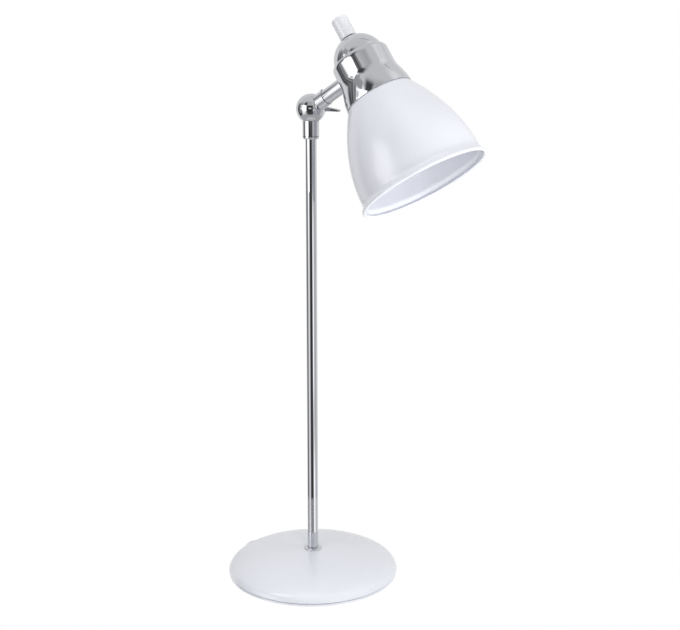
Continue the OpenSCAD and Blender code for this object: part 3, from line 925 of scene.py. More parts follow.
def true_normals(mesh: Mesh, surfaces: Sequence[Ball | Turning]) -> None:
    """Gives a mesh the exact normals of the surfaces that its faces lie on.

    Args:
        mesh: The mesh, in the row frame.
        surfaces: The surfaces, the first that fits a face is taken.
    """
    points = np.column_stack([rows(mesh.vertices, "co"), np.ones(len(mesh.vertices))])
    chosen = rows(mesh.corner_normals, "vector")
    corner = rows(mesh.loops, "vertex_index", np.int32)
    starts = rows(mesh.polygons, "loop_start", np.int32)
    face_of = np.searchsorted(starts, np.arange(len(corner)), side="right") - 1
    facing = rows(mesh.polygons, "normal")[face_of]
    free = np.ones(len(starts), dtype=bool)
    for surface in surfaces:
        matrix = np.array(surface.place.matrix)
        own = (points @ np.linalg.inv(matrix).T)[:, :3] / MM
        direction, hit = surface.normals(own)
        direction = (direction @ matrix[:3, :3].T)[corner]
        side = (direction * facing).sum(1)
        fits = hit[corner] & (np.abs(side) > ALIGNED)
        whole = np.minimum.reduceat(fits.astype(np.int8), starts).astype(bool) & free
        take = whole[face_of]
        chosen[take] = (direction * np.sign(side)[:, None])[take]
        free &= ~whole
    mesh.normals_split_custom_set([tuple(row) for row in chosen])


# ---------------------------------------------------------------- the CAD nodes


def fair_copy(node: str, surfaces: Sequence[Ball | Turning]) -> Piece:
    """A copy of a CAD node with its triangles joined and its true surfaces' normals.

    Args:
        node: The CAD node.
        surfaces: The surfaces whose exact normals the copy takes.

    Returns:
        The new object.
    """
    bm = bmesh.new()
    bm.from_mesh(frame["nodes"][node].data)
    bmesh.ops.remove_doubles(bm, verts=bm.verts, dist=0.002 * MM)
    mesh = bpy.data.meshes.new(node)
    bm.to_mesh(mesh)
    bm.free()
    mesh.materials.clear()
    smooth(mesh)
    true_normals(mesh, surfaces)
    return new_piece(f"{node}_finished", mesh)


@dataclass(frozen=True)
class Extent:
    """How far a CAD node reaches on a place's own axes, in millimetres.

    Attributes:
        low: Its lowest height.
        high: Its greatest height.
        radius: Its greatest distance from the Z axis.
    """

    low: float
    high: float
    radius: float


def extent(node: str, place: Place = STAND) -> Extent:
    """Measures a CAD node on a place's own axes.

    Args:
        node: The CAD node.
        place: The axes.

    Returns:
        How far it reaches.
    """
    back = place.matrix.inverted()
    own = [back @ vertex.co / MM for vertex in frame["nodes"][node].data.vertices]
    heights = [point.z for point in own]
    return Extent(min(heights), max(heights), max(math.hypot(p.x, p.y) for p in own))


# ---------------------------------------------------------------- geometry node recipes

Rule = tuple[Socket, Socket]


class Recipe(Group):
    """A geometry node group that makes a mesh from nothing but its sizes."""

    def __init__(self, name: str, sizes: Iterable[str], counts: Iterable[str] = ()) -> None:
        """Starts the group with its sizes and its whole numbers.

        Args:
            name: Its name.
            sizes: Names of its sizes.
            counts: Names of its whole numbers.
        """
        inputs = {**dict.fromkeys(sizes, "Float"), **dict.fromkeys(counts, "Int")}
        inputs["Material"] = "Material"
        super().__init__(name, "GeometryNodeTree", inputs, {"Geometry": "Geometry"})

    def finish(self, geometry: Socket) -> None:
        """Ends the group: realizes its instances and sets its material.

        Args:
            geometry: What the group has made.
        """
        real = self.add("GeometryNodeRealizeInstances", {0: geometry}).outputs[0]
        coated = {"Geometry": real, "Material": self.given["Material"]}
        self.give(Geometry=self.add("GeometryNodeSetMaterial", coated).outputs[0])

    def make(self, name: str, **values: float) -> Mesh:
        """Runs the recipe once, in a blank material that dressing the piece replaces.

        Args:
            name: The new mesh's name.
            **values: The inputs' values, with underscores for the spaces in their names.

        Returns:
            The plain mesh, on the piece's own axes.
        """
        host = new_piece(f"{name}_host", bpy.data.meshes.new(name))
        modifier = host.modifiers.new("recipe", "NODES")
        modifier.node_group = self.tree
        wanted = {key.replace("_", " "): value for key, value in values.items()}
        wanted["Material"] = bpy.data.materials.get("blank") or bpy.data.materials.new("blank")
        for item in self.tree.interface.items_tree:
            if item.in_out == "INPUT":
                modifier[item.identifier] = wanted[item.name]
        mesh = worked_out(host)
        bpy.data.objects.remove(host)
        mesh.name = name
        return mesh


def thread_recipe() -> Recipe:
    """A screw thread's ridge: a spiral path with a small round section along it.

    Returns:
        The recipe.
    """
    g = Recipe("thread_ridge", ["Radius", "Turns", "Length", "Ridge"])
    radius = g.given["Radius"]
    path = g.add("GeometryNodeCurveSpiral", {
        "Resolution": 72, "Rotations": g.given["Turns"], "Start Radius": radius,
        "End Radius": radius, "Height": g.given["Length"],
    })
    section = {"Resolution": 8, "Radius": g.given["Ridge"]}
    along = {
        "Curve": path.outputs[0], "Fill Caps": True,
        "Profile Curve": g.add("GeometryNodeCurvePrimitiveCircle", section).outputs[0],
    }
    g.finish(g.add("GeometryNodeCurveToMesh", along).outputs[0])
    return g


def ring_recipe() -> Recipe:
    """Upright ribs evenly round a circle.

    Returns:
        The recipe.
    """
    g = Recipe("rib_ring", ["Radius", "Width", "Height"], ["Count"])
    circle = {"Resolution": g.given["Count"], "Radius": g.given["Radius"]}
    rib = {"Vertices": 10, "Radius": g.given["Width"], "Depth": g.given["Height"]}
    spots = {
        "Points": g.add("GeometryNodeCurvePrimitiveCircle", circle).outputs[0],
        "Instance": g.add("GeometryNodeMeshCylinder", rib).outputs["Mesh"],
    }
    g.finish(g.add("GeometryNodeInstanceOnPoints", spots).outputs[0])
    return g


def bell_recipe() -> Recipe:
    """The shade's spun bell and its rolled rim.

    The bell's radius grows by a power of the share of its drop, and a flare below it turns
    out to the rim. Both sides of the sheet follow the same rule, one wall apart.

    Returns:
        The recipe.
    """
    sizes = ("Top Radius", "Low Radius", "Top Height", "Foot Height", "Swell", "Wall",
             "Rim Radius", "Rim Height", "Bead Radius", "Bead Start", "Bead End", "Flare Curve")
    g = Recipe("spun_bell", sizes, ["Segments"])
    given = g.given
    bell_share = 0.88
    rows_down = 76
    rows_round = 26

    def bead(share: Socket | float) -> Rule:
        """Radius and height of the rolled rim.

        Args:
            share: How far along the roll.

        Returns:
            The radius and the height.
        """
        angle = g.between(share, given["Bead Start"], given["Bead End"])
        return tuple(
            g.math("MULTIPLY_ADD", g.math(wave, angle), given["Bead Radius"], given[middle])
            for wave, middle in (("COSINE", "Rim Radius"), ("SINE", "Rim Height"))
        )

    lip = bead(0.0)

    def side(share: Socket | float, inset: float) -> Rule:
        """Radius and height of one side of the sheet, inset by so many walls.

        Args:
            share: How far down the sheet.
            inset: How many walls inward.

        Returns:
            The radius and the height.
        """
        on_bell, on_flare = (
            g.add("ShaderNodeMapRange", {0: share, 1: start, 2: end}).outputs[0]
            for start, end in ((0.0, bell_share), (bell_share, 1.0))
        )
        left = g.math("POWER", g.math("SUBTRACT", 1.0, on_bell), given["Swell"])
        bell = g.between(g.math("SUBTRACT", 1.0, left), given["Top Radius"], given["Low Radius"])
        curled = g.math("POWER", on_flare, given["Flare Curve"])
        flare = g.math("SUBTRACT", lip[0], given["Low Radius"])
        radius = g.math("MULTIPLY_ADD", flare, curled, bell)
        drop = g.between(on_bell, given["Top Height"], given["Foot Height"])
        fall = g.math("SUBTRACT", lip[1], given["Foot Height"])
        height = g.math("MULTIPLY_ADD", fall, on_flare, drop)
        return g.math("MULTIPLY_ADD", given["Wall"], -inset, radius), height

    def strip(start: Rule, end: Rule) -> Callable[[Socket], Rule]:
        """The rule of a straight strip that closes two edges."""
        return lambda share: tuple(g.between(share, *ends) for ends in zip(start, end))

    def swept(steps: int, shape: Callable[[Socket], Rule]) -> Socket:
        """A sheet whose rows follow a rule, laid round the axis.

        Args:
            steps: Number of its rows.
            shape: The rule.

        Returns:
            The sheet.
        """
        across = g.math("ADD", given["Segments"], 1.0)
        grid = g.add("GeometryNodeMeshGrid", {"Vertices X": across, "Vertices Y": steps})
        around = g.add("ShaderNodeSeparateXYZ", {0: grid.outputs["UV Map"]}).outputs
        turn = g.math("MULTIPLY", around["X"], 2 * math.pi)
        radius, height = shape(around["Y"])
        x, y = (g.math("MULTIPLY", radius, g.math(wave, turn)) for wave in ("COSINE", "SINE"))
        spot = g.add("ShaderNodeCombineXYZ", {"X": x, "Y": y, "Z": height}).outputs[0]
        moved = {"Geometry": grid.outputs["Mesh"], "Position": spot}
        return g.add("GeometryNodeSetPosition", moved).outputs[0]

    whole = g.add("GeometryNodeJoinGeometry")
    sheets = (
        (rows_down, lambda share: side(share, 0.0)),
        (rows_down, lambda share: side(share, 1.0)),
        (rows_round, bead),
        (2, strip(bead(1.0), side(1.0, 1.0))),
        (2, strip(side(0.0, 0.0), side(0.0, 1.0))),
    )
    for steps, shape in sheets:
        g.tree.links.new(swept(steps, shape), whole.inputs[0])
    merged = {"Geometry": whole.outputs[0], "Distance": 0.01 * MM}
    g.finish(g.add("GeometryNodeMergeByDistance", merged).outputs[0])
    return g


# ---------------------------------------------------------------- the lamp's parts


@dataclass
class Fitted:
    """A finished piece with its finish and what it stands for.

    Attributes:
        piece: The object.
        look: Its finish.
        node: The CAD node that it replaces.
    """

    piece: Piece
    look: Look
    node: str


class SubAssembly:
    """A part of the lamp whose pieces are built and dressed together.

    Attributes:
        kept: The CAD nodes that only take a finish.
    """

    kept: dict[str, Look] = {}

    def build(self) -> list[Fitted]:
        """Makes the sub-assembly's own pieces."""
        raise NotImplementedError

    def dress(self, paints: Paintbox) -> None:
        """Builds the pieces, gives them their finishes and puts them on their bodies.

        Args:
            paints: Where the finishes come from.
        """
        for fitted in self.build():
            piece, finish = fitted.piece, fitted.look.value
            body = frame["nodes"][fitted.node]["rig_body"]
            piece.data.materials.clear()
            piece.data.materials.append(paints.material(fitted.look))
            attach(piece, body)
            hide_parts(fitted.node)
            count = len(piece.data.polygons)
            LOG.info("%s: %s on %s, %d faces", piece.name, finish.name, body, count)
        for node, look in self.kept.items():
            for slot in frame["nodes"][node].material_slots:
                slot.material = paints.material(look)
            LOG.info("%s: CAD mesh in %s", node, look.value.name)


@dataclass
class Base(SubAssembly):
    """The weighted base under its painted dome.

    Attributes:
        radius: The dome's radius at its foot, in millimetres.
        height: Its height at the middle.
        foot: Height of the dome's foot.
        wall: The shell's wall.
        fall: How squarely the dome falls away from its middle.
        edge: How steeply it ends at its edge.
        pole_radius: Radius of the pole's hole in the shell.
        play: Clearance round the inlet's bush.
        drill_lead: How far outside the bush's outer end the inlet's drill starts.
        drill_reach: How far inside that end it stops.
        broken: Radius of the shell's broken edges.
    """

    radius: float = 80.0
    height: float = 23.0
    foot: float = 1.7
    wall: float = 1.2
    fall: float = 1.7
    edge: float = 2.7
    pole_radius: float = 5.05
    play: float = 0.05
    drill_lead: float = 2.0
    drill_reach: float = 32.0
    broken: float = 0.35
    kept = {
        "base_pad": Look.FOAM,
        "base_weight": Look.IRON,
        "plate_screws": Look.ZINC,
    }

    def dome_line(self, inset: float, low: float) -> Outline:
        """The dome's line from the pole's hole to the shell's lower edge.

        Args:
            inset: How far inside the outer face the line lies.
            low: Height of the lower edge.

        Returns:
            The line's points.
        """
        reach = self.radius - inset
        top = self.height - self.foot - inset
        first = math.asin((self.pole_radius / reach) ** (self.fall / 2))
        last = math.acos(((low - self.foot) / top) ** (self.edge / 2))
        turns = (first + (last - first) * share for share in shares(60))
        return [
            (reach * math.sin(a) ** (2 / self.fall), self.foot + top * math.cos(a) ** (2 / self.edge))
            for a in turns
        ]

    def shell(self, inlet: Place, hole: float) -> Piece:
        """The spun shell with the hole for the cord inlet.

        Args:
            inlet: The hole's axes, from the outside inward.
            hole: Its radius.

        Returns:
            The new object.
        """
        low = extent("base_shell").low
        outer, inner = self.dome_line(0, low), self.dome_line(self.wall, low)
        section = soften(outer + inner[::-1], self.broken)
        shell = turned("base_shell_finished", section, STAND, segments=240)
        drill(shell, hole, -self.drill_lead, self.drill_reach, inlet)
        true_normals(shell.data, [Turning(STAND, outer), Turning(STAND, inner)])
        return shell

    def build(self) -> list[Fitted]:
        """The shell, the plate's lip and the inlet's bush.

        Returns:
            The finished pieces.
        """
        lowest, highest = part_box("cord_inlet_bush")
        radius = (highest.z - lowest.z) / 2 / MM
        inlet = Place(Vector((lowest.x, 0, (lowest.z + highest.z) / 2)), Vector((1, 0, 0)))
        plate = rod(STAND, extent("base_plate").radius)
        return [
            Fitted(self.shell(inlet, radius + self.play), Look.WHITE, "base_shell"),
            Fitted(fair_copy("base_plate", [plate]), Look.WHITE, "base_plate"),
            Fitted(fair_copy("cord_inlet_bush", [rod(inlet, radius)]), Look.WHITE_PLASTIC,
                   "cord_inlet_bush"),
        ]


@dataclass
class Pole(SubAssembly):
    """The slim pole with the rosette at its foot.

    Attributes:
        wall: The tube's wall.
        play: Clearance between the rosette and the pole.
        bevel: The rosette's bevel.
        broken: Radius of its broken edges.
    """

    wall: float = 1.2
    play: float = 0.05
    bevel: float = 0.5
    broken: float = 0.15
    kept = {"pole_washer": Look.ZINC, "pole_nut": Look.BRASS}

    def build(self) -> list[Fitted]:
        """The pole and its rosette.

        Returns:
            The finished pieces.
        """
        pole = extent("pole").radius
        seat = extent("base_rosette")
        slope = [
            (pole + self.play, seat.low), (seat.radius, seat.low),
            (seat.radius, seat.high - 2 * self.bevel),
            (seat.radius - self.bevel, seat.high - self.bevel),
            (pole + 2 * self.bevel, seat.high), (pole + self.play, seat.high),
        ]
        tube = fair_copy("pole", [rod(STAND, pole), rod(STAND, pole - self.wall)])
        rosette = turned("base_rosette_finished", soften(slope, self.broken), STAND)
        return [
            Fitted(tube, Look.CHROME, "pole"),
            Fitted(rosette, Look.CHROME, "base_rosette"),
        ]


@dataclass
class BallJoint(SubAssembly):
    """The split ball on its swivelling neck, with the wing screw that clamps it.

    Attributes:
        ball: The ball's radius.
        neck: The neck's radius.
        sleeve: The sleeve's radius.
        groove: Height of the groove over the neck's ring.
        groove_depth: Its depth.
        shadow_inner: How far the dark ring that paints the groove's shadow reaches in behind the
            groove's floor.
        shadow_outer: How far it stands out from the groove's floor.
        chamfer: The ring's chamfer.
        bore: Radius of the ring's bore.
        hub: Radius of the wing screw's hub.
        hub_length: Its length.
        shank: Radius of its thread.
        bevel: Bevel of the hub's end.
        ring_broken: Radius of the ring's broken edges.
        hub_broken: Radius of the hub's broken edges.
        ear_reach: Distance from the screw's axis to the middle of an ear's tip.
        ear_rise: Height of that middle over the hub's foot.
        ear_tip: Radius of an ear's tip.
        ear_sink: How deep an ear starts inside the hub.
        ear_margin: How much less than the hub's length an ear's root takes at each end.
        root_thickness: An ear's thickness at the hub.
        tip_thickness: Its thickness at the tip.
        dish: Share of its thickness that an ear loses between its edges.
        squareness: Power that shapes an ear's section: 1 is an ellipse, less is squarer.
        bluntness: Power by which an ear's thickness ends round its tip.
        droop: How far the ears hang below the level, in degrees.
    """

    ball: float = 13.0
    neck: float = 7.4
    sleeve: float = 7.3
    groove: float = 0.45
    groove_depth: float = 0.9
    shadow_inner: float = 0.4
    shadow_outer: float = 0.45
    chamfer: float = 1.0
    bore: float = 5.025
    hub: float = 4.5
    hub_length: float = 7.0
    shank: float = 2.5
    bevel: float = 0.6
    ring_broken: float = 0.12
    hub_broken: float = 0.4
    ear_reach: float = 13.6
    ear_rise: float = 8.4
    ear_tip: float = 3.2
    ear_sink: float = 1.4
    ear_margin: float = 1.0
    root_thickness: float = 5.6
    tip_thickness: float = 3.0
    dish: float = 0.22
    squareness: float = 0.5
    bluntness: float = 0.35
    droop: float = 8.0
    kept = {
        "tilt_stop_pin": Look.BLACKED,
        "swivel_stop_screw": Look.BLACKED,
        "friction_disc": Look.FIBRE,
        "clamp_washer": Look.ZINC,
    }

    def ring(self) -> Piece:
        """The ring under the neck, with the groove that parts them.

        Returns:
            The new object.
        """
        place = extent("swivel_ring")
        waist, foot = self.neck - self.groove_depth, place.high - self.groove
        section = [
            (self.bore, place.low), (self.neck - self.chamfer, place.low),
            (self.neck, place.low + self.chamfer), (self.neck, foot),
            (waist, foot), (waist, place.high), (self.bore, place.high),
        ]
        return turned("swivel_ring_finished", soften(section, self.ring_broken), STAND)

    def groove_shadow(self) -> Piece:
        """A dark ring in the groove over the ring: a painted shadow where the groove's shade falls.

        Returns:
            The new object.
        """
        top, waist = extent("swivel_ring").high, self.neck - self.groove_depth
        inner, outer = waist - self.shadow_inner, waist + self.shadow_outer
        foot = top - self.groove
        section = [(inner, foot), (outer, foot), (outer, top), (inner, top)]
        return turned("groove_shadow", section, STAND, segments=96)

    def ear_size(self, far: float, length: float) -> tuple[float, float]:
        """Half an ear's width and half its thickness.

        Args:
            far: Distance from its root.
            length: That distance at the middle of its tip.

        Returns:
            The two halves.
        """
        share = min(far / length, 1.0)
        root = 0.5 * self.hub_length - self.ear_margin
        half = root + (self.ear_tip - root) * share
        thick = 0.5 * (self.root_thickness + (self.tip_thickness - self.root_thickness) * share)
        left = 1 - (max(far - length, 0) / self.ear_tip) ** 2
        return half * max(left, 0.0) ** 0.5, thick * max(left, 0.0) ** self.bluntness

    def ear(self, turn: float, foot: float) -> Mesh:
        """One ear of the wing screw, dished between its raised edges.

        Args:
            turn: Its direction about the screw, in degrees.
            foot: Height of the hub's foot along the screw's axis.

        Returns:
            The closed mesh on the screw's own axes.
        """
        root = Vector((self.hub - self.ear_sink, 0, self.hub_length / 2))
        line = Vector((self.ear_reach, 0, self.ear_rise)) - root
        along, length = line.normalized(), line.length
        up = Vector((-along.z, 0, along.x))
        bm = bmesh.new()
        rings = []
        for far_share in shares(25):
            far = (length + self.ear_tip) * math.sin(0.5 * math.pi * far_share)
            half, thick = self.ear_size(far, length)
            ring = []
            for angle in (2 * math.pi * share for share in shares(36)[:-1]):
                rise, side = (
                    math.copysign(abs(wave) ** self.squareness, wave)
                    for wave in (math.cos(angle), math.sin(angle))
                )
                spot = root + along * far + up * (half * rise)
                spot.y = thick * (1 - self.dish + self.dish * rise**4) * side
                ring.append(bm.verts.new(spot * MM))
            rings.append(ring)
        for first, second in zip(rings, rings[1:]):
            corners = zip(first, first[1:] + first[:1], second[1:] + second[:1], second)
            for corner in corners:
                bm.faces.new(corner)
        bm.faces.new(rings[0])
        bmesh.ops.remove_doubles(bm, verts=bm.verts, dist=0.01 * MM)
        mesh = closed("ear", bm)
        mesh.transform(Matrix.Translation((0, 0, foot * MM))
                       @ Matrix.Rotation(math.radians(turn), 4, "Z"))
        return mesh

    def wing_screw(self) -> Piece:
        """The wing screw with its shank, hub and two ears.

        Returns:
            The new object.
        """
        seat = extent("clamp_washer", CLAMP).high
        low = extent("wing_screw", CLAMP).low
        end = seat + self.hub_length
        section = [
            (0, low), (self.shank, low), (self.shank, seat), (self.hub, seat),
            (self.hub, end - self.bevel), (self.hub - self.bevel, end), (0, end),
        ]
        hub = turned_mesh("hub", soften(section, self.hub_broken), 96)
        ears = [self.ear(self.droop + turn, seat) for turn in (0, 180)]
        return joined("wing_screw_finished", [hub, *ears], CLAMP)

    def build(self) -> list[Fitted]:
        """The ball's two halves, the neck's ring and the wing screw.

        Returns:
            The finished pieces.
        """
        ball = Ball(NECK, self.ball)
        fixed = fair_copy("knuckle_fixed_half", [ball, rod(STAND, self.neck)])
        moving = fair_copy("knuckle_moving_half", [ball, rod(ARM, self.sleeve)])
        return [
            Fitted(fixed, Look.CHROME, "knuckle_fixed_half"),
            Fitted(moving, Look.CHROME, "knuckle_moving_half"),
            Fitted(self.ring(), Look.CHROME, "swivel_ring"),
            # A dark ring in the groove stands in for the groove's shade: painted shadow, not a real
            # part.
            Fitted(self.groove_shadow(), Look.FOAM, "swivel_ring"),
            Fitted(self.wing_screw(), Look.CHROME, "wing_screw"),
        ]


@dataclass
class Arm(SubAssembly):
    """The short arm in its sleeve.

    Attributes:
        wall: The tube's wall.
        broken: Radius of its broken edges.
    """

    wall: float = 1.0
    broken: float = 0.15
    kept = {
        "sleeve_set_screw": Look.ZINC,
        "arm_saddle_washer": Look.ZINC,
        "arm_nut": Look.BRASS,
    }

    def build(self) -> list[Fitted]:
        """The arm's tube.

        Returns:
            The finished pieces.
        """
        tube = extent("arm_tube", ARM)
        bore = tube.radius - self.wall
        section = [
            (bore, tube.low), (tube.radius, tube.low), (tube.radius, tube.high), (bore, tube.high),
        ]
        piece = turned("arm_tube_finished", soften(section, self.broken), ARM, segments=128)
        return [Fitted(piece, Look.CHROME, "arm_tube")]


@dataclass
class Cap(SubAssembly):
    """The spun cap over the shade, on the arm's end.

    Attributes:
        dome: Radius of its dome.
        dome_centre: Height of the dome's centre over the arm's axis.
        step: Height of the step under the dome.
        shoulder: Height of the rounded shoulder under the step.
        body: Radius of its body.
        body_foot: Height of the body's foot.
        skirt: Radius of the skirt's edge.
        flare: How quickly the skirt flares.
        waist: Share of the skirt's drop that the waist's fillet takes.
        wall: The cap's wall.
        bush_hole: Radius of the hole for the switch's bush.
        arm_play: Clearance round the arm.
        switch_radius: Radius that the arm's hole stays clear of.
        broken: Radius of the cap's broken edges.
    """

    dome: float = 22.6
    dome_centre: float = 8.4
    step: float = 11.8
    shoulder: float = 4.6
    body: float = 25.5
    body_foot: float = -8.7
    skirt: float = 30.2
    flare: float = 1.55
    waist: float = 0.18
    wall: float = 0.9
    bush_hole: float = 4.05
    arm_play: float = 0.05
    switch_radius: float = 12.0
    broken: float = 0.2

    def line(self, inset: float, crown: float, edge: float) -> Outline:
        """The cap's line from its crown to its skirt's edge.

        Args:
            inset: How far inside the outer face the line lies.
            crown: Height of the flat on the crown.
            edge: Height of the skirt's edge.

        Returns:
            The line's points.
        """
        radius, step, top = self.dome - inset, self.step - inset, crown - inset
        step_radius = math.sqrt(radius**2 - (step - self.dome_centre) ** 2)
        body = self.body - inset
        start, end = (
            math.degrees(math.asin((height - self.dome_centre) / radius)) for height in (top, step)
        )
        shoulder = [
            (step_radius + (body - step_radius) * math.sin(a),
             step - (self.shoulder - inset) * (1 - math.cos(a)))
            for a in (0.5 * math.pi * share for share in shares(14)[1:])
        ]
        dome = bow(0, self.dome_centre, radius, start, end, 36)
        return [(self.bush_hole, top), *dome, *shoulder, *self.skirt_line(body, inset, edge)]

    def skirt_line(self, body: float, inset: float, edge: float) -> Outline:
        """The skirt's line, with the fillet that leads from the body into it.

        Args:
            body: The body's radius on this line.
            inset: How far inside the outer face the line lies.
            edge: Height of the skirt's edge.

        Returns:
            The line's points.
        """
        drop, left = self.body_foot - edge, 1 - self.waist
        flared = [
            Vector((body + (self.skirt - inset - body) * (1 - (1 - k) ** self.flare),
                    self.body_foot - drop * k))
            for k in (self.waist + left * share for share in shares(30))
        ]
        lead = (1 - left**self.flare) / left ** (self.flare - 1) / self.flare * drop
        corner = Vector((body, flared[0].y + lead))
        start = corner + Vector((0, lead))
        fillet = [bent(start, corner, flared[0], share) for share in shares(16)[1:-1]]
        return [tuple(point) for point in (*fillet, *flared)]

    def build(self) -> list[Fitted]:
        """The cap with the arm's hole in its side.

        Returns:
            The finished pieces.
        """
        reach = extent("head_cap", HEAD)
        outer, inner = (self.line(inset, reach.high, reach.low) for inset in (0, self.wall))
        cap = turned("head_cap_finished", soften(outer + inner[::-1], self.broken), HEAD, segments=192)
        hole = extent("arm_tube", ARM).radius + self.arm_play
        end = (HEAD_CENTRE - BALL_CENTRE).length / MM
        drill(cap, hole, end - 2 * self.body, end - self.switch_radius, ARM)
        true_normals(cap.data, [Turning(HEAD, outer), Turning(HEAD, inner)])
        return [Fitted(cap, Look.CHROME, "head_cap")]


@dataclass
class Shade(SubAssembly):
    """The painted bell shade with its rolled rim, and the ring that clamps it.

    Attributes:
        top: Radius of the bell where the cap ends.
        low: Radius of the bell above its flare.
        bell_foot: Height of the bell's foot from the arm's axis.
        bell_top: Height of the bell's top.
        swell: How quickly the bell swells.
        wall: The sheet's thickness.
        rim: Radius of the rolled rim along its middle.
        bead: Radius of the roll.
        bead_start: Where the roll starts, in degrees.
        bead_end: Where it ends.
        flare: How the flare curves.
        neck: Radius of the neck inside the cap.
        plate: Height of the top plate.
        hole: Radius of the holder's hole.
        corner: Radius of the neck's corner.
        edge_drop: How much lower the inner edge of the bell's top lies.
        ribs: Number of grip ribs round the clamping ring.
        rib: Radius of a rib.
        rib_margin: How much shorter than the ring a rib is.
        broken: Radius of the ring's broken edges.
    """

    top: float = 29.3
    low: float = 54.8
    bell_foot: float = -105.4
    bell_top: float = -27.6
    swell: float = 2.0
    wall: float = 0.9
    rim: float = 56.45
    bead: float = 1.6
    bead_start: float = 80.0
    bead_end: float = -165.0
    flare: float = 1.6
    neck: float = 28.7
    plate: float = -21.9
    hole: float = 14.25
    corner: float = 1.5
    edge_drop: float = 0.4
    ribs: int = 32
    rib: float = 0.5
    rib_margin: float = 1.4
    broken: float = 0.5

    def bell(self) -> Mesh:
        """The bell's sheet, made by its rule.

        Returns:
            The mesh on the piece's own axes.
        """
        rim_height = extent("shade", HEAD).low + self.bead
        return bell_recipe().make(
            "bell", Top_Radius=self.top * MM, Low_Radius=self.low * MM,
            Top_Height=self.bell_top * MM, Foot_Height=self.bell_foot * MM, Swell=self.swell,
            Wall=self.wall * MM, Rim_Radius=self.rim * MM, Rim_Height=rim_height * MM,
            Bead_Radius=self.bead * MM, Bead_Start=math.radians(self.bead_start),
            Bead_End=math.radians(self.bead_end), Flare_Curve=self.flare, Segments=240,
        )

    def collar(self) -> Mesh:
        """The neck and the top plate that the holder clamps.

        Returns:
            The mesh on the piece's own axes.
        """
        middle = (self.neck - self.corner, self.plate - self.corner)
        section = [
            (self.hole, self.plate), *bow(*middle, self.corner, 90, 0, 8),
            (self.neck, self.bell_top + self.wall), (self.top, self.bell_top),
            (self.top - self.wall, self.bell_top - self.edge_drop),
            (self.neck - self.wall, self.bell_top + self.wall / 2),
            *bow(*middle, self.corner - self.wall, 0, 90, 8), (self.hole, self.plate - self.wall),
        ]
        return turned_mesh("collar", section, 160)

    def clamping_ring(self) -> Piece:
        """The threaded ring under the shade's plate, with its grip ribs.

        Returns:
            The new object.
        """
        ring = extent("shade_ring", HEAD)
        edge = ring.radius - self.rib
        section = [
            (self.hole, ring.low), (edge, ring.low), (edge, ring.high), (self.hole, ring.high),
        ]
        body = turned_mesh("ring", soften(section, self.broken), 128)
        ribs = ring_recipe().make(
            "ribs", Count=self.ribs, Radius=edge * MM, Width=self.rib * MM,
            Height=(ring.high - ring.low - self.rib_margin) * MM,
        )
        ribs.transform(Matrix.Translation((0, 0, (ring.low + ring.high) / 2 * MM)))
        return joined("shade_ring_finished", [body, ribs], HEAD)

    def build(self) -> list[Fitted]:
        """The shade and its clamping ring.

        Returns:
            The finished pieces.
        """
        shade = joined("shade_finished", [self.bell(), self.collar()], HEAD)
        return [
            Fitted(shade, Look.SHADE_WHITE, "shade"),
            Fitted(self.clamping_ring(), Look.WHITE_PLASTIC, "shade_ring"),
        ]


